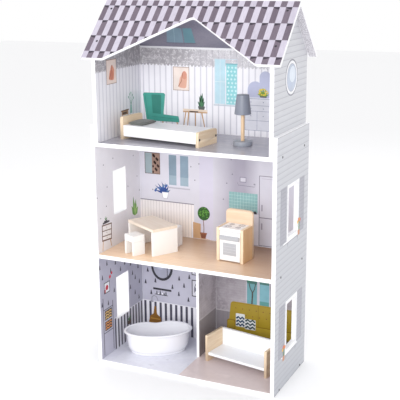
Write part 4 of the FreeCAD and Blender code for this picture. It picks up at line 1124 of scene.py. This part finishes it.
def screw_heads(group, body, outward, both_ends=False, across=0.0074):
    """Heads on every screw of a packed group. The seats are the outer ends of its separate solids."""
    shape = bmesh.new()
    shape.from_mesh(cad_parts[group].data)
    bmesh.ops.remove_doubles(shape, verts=shape.verts, dist=1e-6)
    outward = Vector(outward).normalized()
    middle = sum((v.co for v in shape.verts), Vector()) / len(shape.verts)
    left, seats = set(shape.verts), []
    while left:
        island, edge_of = set(), [next(iter(left))]
        while edge_of:
            vertex = edge_of.pop()
            if vertex in island:
                continue
            island.add(vertex)
            edge_of += [e.other_vert(vertex) for e in vertex.link_edges]
        left -= island
        centre = sum((v.co for v in island), Vector()) / len(island)
        way = outward if not both_ends or (centre - middle).dot(outward) > 0 else -outward
        reach = max(v.co.dot(way) for v in island)
        rim = [v.co for v in island if v.co.dot(way) > reach - 1e-5]
        seats.append((sum(rim, Vector()) / len(rim), way))
    shape.free()
    points = bpy.data.meshes.new(group + "_seats")
    points.from_pydata([seat + way * 0.00005 for seat, way in seats], [], [])
    points.attributes.new("axis", "FLOAT_VECTOR", "POINT").data.foreach_set("vector",
            [c for _, way in seats for c in way])
    holder = bpy.data.objects.new(group + "_heads", points)
    scene.collection.objects.link(holder)
    setter = holder.modifiers.new("heads", "NODES")
    setter.node_group = heads
    setter[head_width.identifier] = across
    setter[head_height.identifier] = 0.00075
    setter[slot_width.identifier] = 0.0011
    mesh = bpy.data.meshes.new_from_object(holder.evaluated_get(bpy.context.evaluated_depsgraph_get()))
    holder.modifiers.remove(setter)
    bpy.data.objects.remove(holder)
    return piece(group + "_heads", mesh, body, screw_black, [group])


screw_heads("left_side_screws", "house", (-1, 0, 0))
screw_heads("right_side_screws", "house", (1, 0, 0))
screw_heads("front_roof_screws", "house", (0, -1, 1))
screw_heads("rear_roof_screws", "house", (0, 1, 1))
screw_heads("back_panel_screws", "house", (0, 1, 0), across=0.0052)


# Birch pieces of the furniture ------------------------------------------------------------------
# Clear-lacquered birch plywood: bed ends, stove sides and sofa arms. The faces show fine lengthwise
# figure, and the cut edges show the plies as thin darker lines. Pieces are sanded round.
wood_grain, grain_in, grain_out = new_group("Drawn grain", [("Vector", "Vector", (0, 0, 0)),
        ("Light", "Color", (0.8, 0.7, 0.5, 1)), ("Dark", "Color", (0.6, 0.4, 0.2, 1)),
        ("Contrast", "Float", 0.5)], [("Colour", "Color"), ("Height", "Float")])
grain_bands = node(wood_grain, "ShaderNodeTexNoise", {"Vector": grain_in["Vector"], "Scale": 95.0,
        "Detail": 5.0, "Distortion": 0.6}).outputs[0]
grain_fibre = node(wood_grain, "ShaderNodeTexNoise", {"Vector": grain_in["Vector"], "Scale": 620.0,
        "Detail": 3.0}).outputs[0]
grain_mask = times(wood_grain, node(wood_grain, "ShaderNodeMapRange", {
    "Value": plus(wood_grain, times(wood_grain, grain_bands, 0.7), times(wood_grain, grain_fibre, 0.3)),
    "From Min": 0.4, "From Max": 0.62}).outputs[0], grain_in["Contrast"])
wood_grain.links.new(mixed(wood_grain, grain_mask, grain_in["Light"], grain_in["Dark"]), grain_out["Colour"])
wood_grain.links.new(grain_fibre, grain_out["Height"])


def timber_finish(name, centre, turned_by, along, light, dark, contrast=0.55, plies=None,
                  edge=(246, 228, 200)):
    """Lacquered wood. along is the grain's axis in the piece, and plies the axis through its layers."""
    material, tree, shader = new_material(name)
    place = node(tree, "ShaderNodeTexCoord").outputs["Object"]
    stretch = tuple(14.0 if i == along else 1.0 for i in range(3))
    own = node(tree, "ShaderNodeMapping", {"Vector": place, "Location": centre,
                                           "Rotation": (0, 0, turned_by)}, vector_type="TEXTURE").outputs[0]
    drawn = node(tree, "ShaderNodeMapping", {"Vector": own, "Scale": tuple(1 / s
            for s in stretch)}).outputs[0]
    wood = placed(tree, wood_grain, {"Vector": drawn, "Light": tone(*light), "Dark": tone(*dark),
                                     "Contrast": contrast})
    colour = wood["Colour"]
    if plies is not None:
        through = node(tree, "ShaderNodeSeparateXYZ", {0: own}).outputs[plies]
        layers = lines(tree, through, 0.0022, 0.0011, 0.0008, 0.0002)["Mask"]
        cut = node(tree, "ShaderNodeAttribute", attribute_name="cut").outputs["Fac"]
        colour = mixed(tree, times(tree, cut, 0.7), colour, tone(*edge))
        colour = mixed(tree, times(tree, times(tree, layers, cut), 0.34), colour, tone(186, 140, 96))
    rubbed = placed(tree, worn_edge, {"Colour": colour, "Rubbed": tone(228, 204, 170), "Amount": 0.45})
    tree.links.new(rubbed["Colour"], shader.inputs["Base Color"])
    rough = plus(tree, 0.4, times(tree, wood["Height"], 0.18))
    tree.links.new(rough, shader.inputs["Roughness"])
    bump = node(tree, "ShaderNodeBump", {"Strength": 0.15, "Distance": 0.0003, "Height": wood["Height"]})
    tree.links.new(bump.outputs[0], shader.inputs["Normal"])
    return material


def own_axes(degrees):
    """The long and the cross direction of a piece of furniture that stands turned."""
    turned_by = math.radians(degrees)
    return (math.cos(turned_by), math.sin(turned_by), 0), (-math.sin(turned_by), math.cos(turned_by),
            0), turned_by


BIRCH_LIGHT, BIRCH_DARK = (242, 221, 192), (222, 190, 150)

# Bed --------------------------------------------------------------------------------------------
# Birch head and foot boards are screwed to two white rails, and a white board lies between them as
# the mattress. A small grey felt pillow, stuffed and sewn round its edge, lies loose on it.
bed_along, _, bed_turn = own_axes(-8)
bed_centre = (-0.0945, -0.028, ATTIC_FLOOR_TOP)
bed_birch = timber_finish("bed birch", bed_centre, bed_turn, 1, BIRCH_LIGHT, BIRCH_DARK, plies=0)
for end in ("bed_headboard", "bed_footboard"):
    eased(end, "bed", bed_birch, 0.0008, 0.003, bed_along)
bed_white = sprayed("bed white", (247, 247, 250), 0.014)
for board in ("bed_front_rail", "bed_rear_rail", "mattress_board"):
    eased(board, "bed", bed_white, 0.0008)
screw_heads("bed_screws", "bed", bed_along, True)

pillow_low, pillow_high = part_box("bed_pillow")
pillow_middle = Vector(((pillow_low.x + pillow_high.x) / 2, (pillow_low.y + pillow_high.y) / 2, pillow_low.z))
PILLOW_WIDE, PILLOW_LONG, PILLOW_THICK = 0.0595, 0.0775, pillow_high.z - pillow_low.z


def pillow_skin():
    """The pillow before it swells: two panels whose edges draw in between the corners."""
    shape = bmesh.new()
    across, along = 21, 27
    sheets = []
    for side in (0, 1):
        rows = []
        for i in range(across):
            row = []
            for j in range(along):
                a, b = i / (across - 1) * 2 - 1, j / (along - 1) * 2 - 1
                x = a * PILLOW_WIDE / 2 * (1 - 0.055 * (1 - b * b))
                y = b * PILLOW_LONG / 2 * (1 - 0.045 * (1 - a * a))
                swell = ((1 - a ** 4) * (1 - b ** 4)) ** 0.5
                middle = 0.0036 + 0.0004 * math.sin(7 * a) * math.cos(5 * b)
                z = middle + swell * (0.0060 if side else -0.0034)
                row.append(shape.verts.new((x, y, z)))
            rows.append(row)
        for i in range(across - 1):
            for j in range(along - 1):
                corners = [rows[i][j], rows[i + 1][j], rows[i + 1][j + 1], rows[i][j + 1]]
                shape.faces.new(corners if side else corners[::-1])
        sheets.append(rows)
    bmesh.ops.remove_doubles(shape, verts=shape.verts, dist=2e-4)
    bmesh.ops.recalc_face_normals(shape, faces=shape.faces)
    mesh = bpy.data.meshes.new("pillow")
    shape.to_mesh(mesh)
    shape.free()
    return mesh


def swollen(mesh, voxel, pressure, cap, frames=20):
    """The closed skin blown up as a stuffed cover by cloth simulation, with every point's move capped."""
    holder = bpy.data.objects.new("stuffing", mesh)
    scene.collection.objects.link(holder)
    remesh = holder.modifiers.new("even", "REMESH")
    remesh.mode, remesh.voxel_size = "VOXEL", voxel
    even = bpy.data.meshes.new_from_object(holder.evaluated_get(bpy.context.evaluated_depsgraph_get()))
    holder.modifiers.clear()
    holder.data = even
    start = np.array([v.co for v in even.vertices])
    cloth = holder.modifiers.new("cover", "CLOTH")
    cloth.settings.use_pressure = True
    cloth.settings.uniform_pressure_force = pressure
    cloth.settings.effector_weights.gravity = 0
    cloth.point_cache.frame_start, cloth.point_cache.frame_end = 1, frames
    for number in range(1, frames + 1):
        scene.frame_set(number)
    settled = bpy.data.meshes.new_from_object(holder.evaluated_get(bpy.context.evaluated_depsgraph_get()))
    end = np.array([v.co for v in settled.vertices])
    move = end - start
    length = np.maximum(np.linalg.norm(move, axis=1, keepdims=True), 1e-9)
    settled.vertices.foreach_set("co", (start + move * np.minimum(1, cap / length)).ravel())
    holder.modifiers.clear()
    bpy.data.objects.remove(holder)
    scene.frame_set(1)
    return settled


pillow_mesh = pillow_skin()
pillow_mesh = swollen(pillow_mesh, 0.0018, 4.0, 0.0012)
pillow_shape = bmesh.new()
pillow_shape.from_mesh(pillow_mesh)
seam_level = 0.0036
for vertex in pillow_shape.verts:
    x, y, z = vertex.co
    near_edge = max(abs(x) / (PILLOW_WIDE / 2), abs(y) / (PILLOW_LONG / 2))
    seam = math.exp(-((z - seam_level) / 0.0007) ** 2) * (near_edge > 0.86)
    vertex.co.x, vertex.co.y = x * (1 - 0.02 * seam), y * (1 - 0.016 * seam)
    vertex.co.z = min(max(z, 0.0), PILLOW_THICK - 0.0003)
bmesh.ops.transform(pillow_shape, verts=pillow_shape.verts,
                    matrix=Matrix.Translation(pillow_middle) @ Matrix.Rotation(bed_turn, 4, "Z"))
pillow_shape.to_mesh(pillow_mesh)
pillow_shape.free()
pillow_mesh.polygons.foreach_set("use_smooth", [True] * len(pillow_mesh.polygons))

felt, felt_tree, felt_shader = new_material("grey felt")
felt_place = node(felt_tree, "ShaderNodeTexCoord").outputs["Object"]
felt_fibre = cloud(felt_tree, felt_place, 0.0011, (1, 1, 1), 6.0, 0.3, 0.7)
felt_flock = cloud(felt_tree, felt_place, 0.012, (1, 1, 1), 4.0, 0.3, 0.7)
felt_both = plus(felt_tree, times(felt_tree, felt_fibre, 0.7), times(felt_tree, felt_flock, 0.3))
felt_tree.links.new(mixed(felt_tree, felt_both, tone(76, 79, 76), tone(112, 115, 110)),
                    felt_shader.inputs["Base Color"])
felt_tree.links.new(plus(felt_tree, 0.82, times(felt_tree, felt_fibre, 0.15)),
                    felt_shader.inputs["Roughness"])
felt_shader.inputs["Sheen Weight"].default_value = 0.25
felt_shader.inputs["Sheen Roughness"].default_value = 0.6
felt_bump = node(felt_tree, "ShaderNodeBump", {"Strength": 0.6, "Distance": 0.0004, "Height": felt_both})
felt_tree.links.new(felt_bump.outputs[0], felt_shader.inputs["Normal"])
pillow = piece("felt_pillow", pillow_mesh, "pillow", felt, ["bed_pillow"])
smoother = pillow.modifiers.new("finer", "SUBSURF")
smoother.levels = smoother.render_levels = 1

# Floor lamp -------------------------------------------------------------------------------------
# A turned foot and a turned tapering shade, both painted slate grey, on a plain beech post. The
# shade is hollowed underneath, and both turnings have softened rims.


def turned_rings(profile, centre, sides=72):
    """A closed turned solid from a profile of (half width, height)."""
    shape = bmesh.new()
    rings = []
    for reach, height in profile:
        around = [(reach * math.cos(math.tau * i / sides), reach * math.sin(math.tau * i / sides))
                  for i in range(sides)]
        rings.append([shape.verts.new((x, y, height)) for x, y in around])
    for lower, upper in zip(rings, rings[1:]):
        for i in range(sides):
            shape.faces.new((lower[i], lower[(i + 1) % sides], upper[(i + 1) % sides], upper[i]))
    shape.faces.new(rings[0][::-1])
    shape.faces.new(rings[-1])
    bmesh.ops.transform(shape, verts=shape.verts, matrix=Matrix.Translation(centre))
    bmesh.ops.recalc_face_normals(shape, faces=shape.faces)
    mesh = bpy.data.meshes.new("turned")
    shape.to_mesh(mesh)
    shape.free()
    mesh.polygons.foreach_set("use_smooth", [True] * len(mesh.polygons))
    mesh.set_sharp_from_angle(angle=math.radians(32))
    return mesh


lamp_foot_low, lamp_foot_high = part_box("lamp_base")
lamp_centre = ((lamp_foot_low.x + lamp_foot_high.x) / 2, (lamp_foot_low.y + lamp_foot_high.y) / 2,
               lamp_foot_low.z)
foot_reach, foot_tall = (lamp_foot_high.x - lamp_foot_low.x) / 2, lamp_foot_high.z - lamp_foot_low.z
slate_paint = sprayed("slate lamp paint", (150, 154, 164), 0.04, 0.7, 0.02, (186, 188, 194))
shade_paint = sprayed("slate shade paint", (124, 129, 142), 0.04, 0.7, 0.02, (186, 188, 194))


def rounded_profile(low, bottom, high, top, ease, steps=5):
    """(half width, height) up one side of a turning whose two rims are eased."""
    points = [(bottom - ease, low)]
    points += [(bottom - ease + ease * math.sin(math.pi / 2 * i / steps), low + ease - ease
                * math.cos(math.pi / 2 * i / steps)) for i in range(1, steps + 1)]
    points += [(top - ease + ease * math.cos(math.pi / 2 * i / steps), high - ease + ease
                * math.sin(math.pi / 2 * i / steps)) for i in range(steps + 1)]
    return points


foot_profile = [(0.001, 0.0)] + rounded_profile(0.0, foot_reach, foot_tall, foot_reach,
        0.0018) + [(0.012, foot_tall), (0.001, foot_tall)]
piece("lamp_foot_turning", turned_rings(foot_profile, lamp_centre), "floor_lamp", slate_paint,
      ["lamp_base"])
shade_low, shade_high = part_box("lamp_shade")
shade_reach, shade_tall = (shade_high.x - shade_low.x) / 2, shade_high.z - shade_low.z
SHADE_TOP_REACH, SHADE_HOLLOW, SHADE_WALL = 0.0186, 0.013, 0.0035
shade_profile = [(0.0054, SHADE_HOLLOW), (shade_reach - SHADE_WALL - 0.0016, SHADE_HOLLOW),
                 (shade_reach - SHADE_WALL, SHADE_HOLLOW - 0.002),
                 (shade_reach - SHADE_WALL + 0.0003, 0.0006)]
shade_profile += rounded_profile(0.0, shade_reach, shade_tall, SHADE_TOP_REACH,
                                 0.0016) + [(0.001, shade_tall)]
piece("lamp_shade_turning", turned_rings(shade_profile, (lamp_centre[0], lamp_centre[1], shade_low.z)),
      "floor_lamp", shade_paint, ["lamp_shade"])
beech = timber_finish("lamp beech", lamp_centre, 0.0, 2, (226, 198, 164), (198, 160, 120), 0.6)
post_low, post_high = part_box("lamp_post")
post_reach = (post_high.x - post_low.x) / 2
piece("lamp_post_turning", turned_rings(rounded_profile(0.0, post_reach, post_high.z - post_low.z, post_reach,
        0.0006), (lamp_centre[0], lamp_centre[1], post_low.z), 48), "floor_lamp", beech,
      ["lamp_post"])
for hidden in ("divider_dowels", "gable_dowels"):
    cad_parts[hidden].data.materials.clear()
    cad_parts[hidden].data.materials.append(beech)

# Kitchen table and stools -----------------------------------------------------------------------
# The table is a beige-faced top on two white end boards. Each stool is a thick white seat notched
# over two thin side boards. All edges are sanded by hand, and the pieces are glued.
table_turn = math.radians(-30)
table_top_finish = timber_finish("table top", (-0.16, -0.018, KITCHEN_TOP), table_turn, 0, (240, 226, 210),
                                 (228, 208, 186), 0.5)
eased("table_top", "table", table_top_finish, 0.0007, through=(0, 0, 1))
cream_board = sprayed("cream white board", (245, 243, 241), 0.014)
for board in ("table_left_end", "table_right_end"):
    eased(board, "table", cream_board, 0.0008)
for stool in ("stool_one", "stool_two"):
    for board in ("seat", "left_leg", "right_leg"):
        eased(stool + "_" + board, stool, cream_board, 0.0008)

# Stove ------------------------------------------------------------------------------------------
# Birch sides and a birch splash back hold a white hob board and a shelf. The white door swings down
# on two steel pins, and carries a printed oven window and a grey bar handle.
stove_along, stove_across, stove_turn = own_axes(-4.5)
STOVE_PLACE = Vector((0.1206, -0.0099, KITCHEN_TOP))
# The stove's birch faces are painted darker and more orange than the other birch. This is painted shade for
# the side turned away from the light, and both sides get it.
shaded_stove_birch = timber_finish("shaded stove birch", STOVE_PLACE, stove_turn, 2, (226, 186, 138), (204, 156, 106),
                            plies=0, edge=(248, 236, 214))
splash_birch = timber_finish("splash back birch", STOVE_PLACE, stove_turn, 0, (234, 208, 182),
                             (220, 188, 154), plies=1)
for board in ("stove_left_side", "stove_right_side"):
    eased(board, "stove", shaded_stove_birch, 0.0008, 0.003, stove_along)
eased("stove_splash_back", "stove", splash_birch, 0.0007, 0.0009, stove_across)
stove_white = sprayed("stove white", (243, 242, 243), 0.014)
for board in ("stove_hob", "stove_shelf"):
    eased(board, "stove", stove_white, 0.0006)
eased("oven_door", "oven_door", stove_white, 0.0008)

stove_frame = Matrix.Translation(STOVE_PLACE) @ Matrix.Rotation(stove_turn, 4, "Z")
HOB_TOP, DOOR_FACE = 0.106, -0.0365


def on_hob(u, v, w):
    return tuple(stove_frame @ Vector((u, v, HOB_TOP + w)))


def on_door(u, v, w):
    return tuple(stove_frame @ Vector((u, DOOR_FACE - w, v)))


ring_grey, ring_dark = (196, 194, 200), (150, 148, 156)
hob_shapes = []
for ring_x, ring_y, across in ((-17, -14, 21), (17, -14, 17), (-17, 12, 17), (17, 12, 21)):
    hob_shapes += [([disc(ring_x, ring_y, across, steps=32), disc(ring_x, ring_y, across - 3.4, steps=32)],
        ring_dark, 1), ([disc(ring_x, ring_y, across - 7, steps=28),
        disc(ring_x, ring_y, across - 9.4, steps=28)], ring_dark, 1),
        spot(ring_grey, 1, ring_x, ring_y, 4.4, steps=16)]
motifs("stove_hob_rings", hob_shapes, on_hob, "stove")
door_shapes = [rounded([(-24, 21, 2), (23, 21, 2), (23, 61, 2), (-24, 61, 2)], (206, 207, 212), 1),
    rounded([(-22.6, 22.4, 1), (21.6, 22.4, 1), (21.6, 59.6, 1), (-22.6, 59.6, 1)], (176, 178, 184), 2)]
for level in (31, 40, 49):
    door_shapes.append(slab(-21, 20, level, level + 0.9, (200, 201, 206), 3))
motifs("oven_door_print", door_shapes, on_door, "oven_door")

handle_paint = sprayed("grey handle paint", (176, 177, 182), 0.04, 0.6, 0.04, (206, 206, 210))
eased("oven_handle", "oven_door", handle_paint, 0.0016, 0.004)
pin_steel = metal("steel pin", (0.0006, (12, 1, 1), 3.0), (178, 178, 182), (208, 208, 212), 0.25, 0.2, 1.0)
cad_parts["oven_hinge_pins"].data.materials.clear()
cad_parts["oven_hinge_pins"].data.materials.append(pin_steel)

# Bathtub ----------------------------------------------------------------------------------------
# A thin glossy white shell, oval, with a rolled rim. Its wall draws in below the rim, then slopes to
# a narrower foot with a low plinth step. The far rim dips, and the bowl inside has a drain.
tub_low, tub_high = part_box("bathtub")
tub_place = Vector(((tub_low.x + tub_high.x) / 2, (tub_low.y + tub_high.y) / 2, tub_low.z))
TUB_TURN = math.radians(32)
RIM, WAIST, FOOT = (113.0, 70.5), (104.0, 62.0), (89.5, 48.5)
BOWL, WELL = (103.0, 60.5), (78.0, 44.0)
TUB_HIGH, BOWL_LOW, RIM_DIP = 78.0, 8.0, 8.0


def oval_between(low, high, way):
    return tuple(a + (b - a) * way for a, b in zip(low, high))


tub_rings = [((FOOT[0] - 6, FOOT[1] - 6), 0.0), ((FOOT[0] - 1.2, FOOT[1] - 1.2), 0.0), (FOOT, 1.0),
             ((FOOT[0] + 0.7, FOOT[1] + 0.7), 10.4), ((FOOT[0] + 0.4, FOOT[1] + 0.4), 11.4),
             ((FOOT[0] + 1.0, FOOT[1] + 1.0), 12.6)]
for step in range(1, 13):
    way = step / 12
    reach = oval_between((FOOT[0] + 1.0, FOOT[1] + 1.0), WAIST, way)
    tub_rings.append((reach, 12.6 + (TUB_HIGH - 6.4 - 12.6) * way))
for step in range(0, 11):
    swing = -math.pi / 2 + math.pi * step / 10
    roll = (RIM[0] - 3.4 + 3.4 * math.cos(swing), RIM[1] - 3.4 + 3.4 * math.cos(swing))
    tub_rings.append((roll, TUB_HIGH - 3.2 + 3.2 * math.sin(swing)))
tub_rings += [((BOWL[0] + 1.6, BOWL[1] + 1.6), TUB_HIGH), (BOWL, TUB_HIGH - 1.2)]
for step in range(1, 17):
    way = step / 16
    sink = math.sin(way * math.pi / 2)
    tub_rings.append((oval_between(BOWL, WELL, 1 - (1 - way ** 2.3) ** 0.6 if way < 1 else 1.0),
                      (TUB_HIGH - 1.2) + (BOWL_LOW - TUB_HIGH + 1.2) * sink))
tub_rings += [((WELL[0] * 0.8, WELL[1] * 0.8), BOWL_LOW - 0.6),
              ((WELL[0] * 0.45, WELL[1] * 0.45), BOWL_LOW - 1.0)]
tub_shape = bmesh.new()
TUB_SIDES = 96
loops = []
for (long_half, short_half), height in tub_rings:
    loop = []
    for i in range(TUB_SIDES):
        across = long_half * math.cos(math.tau * i / TUB_SIDES)
        along = short_half * math.sin(math.tau * i / TUB_SIDES)
        dip = RIM_DIP * math.exp(-(across / 27) ** 2) * max(0, (height - 50) / 28) if along > 0 else 0
        loop.append(tub_shape.verts.new((across * MM, along * MM, (height - dip) * MM)))
    loops.append(loop)
for lower, upper in zip(loops, loops[1:]):
    for i in range(TUB_SIDES):
        tub_shape.faces.new((lower[i], lower[(i + 1) % TUB_SIDES], upper[(i + 1) % TUB_SIDES], upper[i]))
tub_shape.faces.new(loops[0][::-1])
tub_shape.faces.new(loops[-1])
bmesh.ops.transform(tub_shape, verts=tub_shape.verts,
                    matrix=Matrix.Translation(tub_place) @ Matrix.Rotation(TUB_TURN, 4, "Z"))
bmesh.ops.recalc_face_normals(tub_shape, faces=tub_shape.faces)
tub_mesh = bpy.data.meshes.new("bathtub_shell")
tub_shape.to_mesh(tub_mesh)
tub_shape.free()
tub_mesh.polygons.foreach_set("use_smooth", [True] * len(tub_mesh.polygons))
tub_mesh.set_sharp_from_angle(angle=math.radians(50))
tub_gloss, tub_tree, tub_shader = new_material("glossy white shell")
tub_skin = placed(tub_tree, paint_skin, {"Colour": tone(237, 237, 243), "Mottle": 0.012, "Stipple": 160.0})
tub_tree.links.new(tub_skin["Colour"], tub_shader.inputs["Base Color"])
tub_tree.links.new(times(tub_tree, tub_skin["Roughness"], 0.42), tub_shader.inputs["Roughness"])
tub_shader.inputs["Coat Weight"].default_value = 0.35
tub_shader.inputs["Coat Roughness"].default_value = 0.08
tub_bump = node(tub_tree, "ShaderNodeBump", {"Strength": 0.04, "Distance": 0.0006,
        "Height": tub_skin["Height"]})
tub_tree.links.new(tub_bump.outputs[0], tub_shader.inputs["Normal"])
piece("bathtub_shell", tub_mesh, "tub", tub_gloss, ["bathtub"])

drain_steel = metal("drain steel", (0.003,), (196, 198, 204), (222, 223, 228), 0.3, 0.15, 0.9)
drain_profile = [(0.0022, 0.0), (0.0062, 0.0), (0.0062, 0.0012), (0.0054, 0.0018), (0.0046, 0.0016),
                 (0.0040, 0.0008), (0.0018, 0.0009), (0.001, 0.0009)]
piece("bathtub_drain", turned_rings(drain_profile, tub_place + Vector((0, 0, (BOWL_LOW - 1.2) * MM)), 40),
      "tub", drain_steel)

# Sofa -------------------------------------------------------------------------------------------
# Birch arms with softly rounded corners are screwed to a white seat board and a white back board.
sofa_along, _, sofa_turn = own_axes(-10.5)
sofa_birch = timber_finish("sofa birch", (0.1394, 0.014, GROUND_TOP), sofa_turn, 1, (240, 218, 188),
                           (216, 182, 142), plies=0)
for arm in ("sofa_left_arm", "sofa_right_arm"):
    eased(arm, "sofa", sofa_birch, 0.0008, 0.003, sofa_along)
sofa_white = sprayed("sofa white", (244, 246, 250), 0.014)
for board in ("sofa_seat", "sofa_back"):
    eased(board, "sofa", sofa_white, 0.0008)
screw_heads("sofa_screws", "sofa", sofa_along, True)
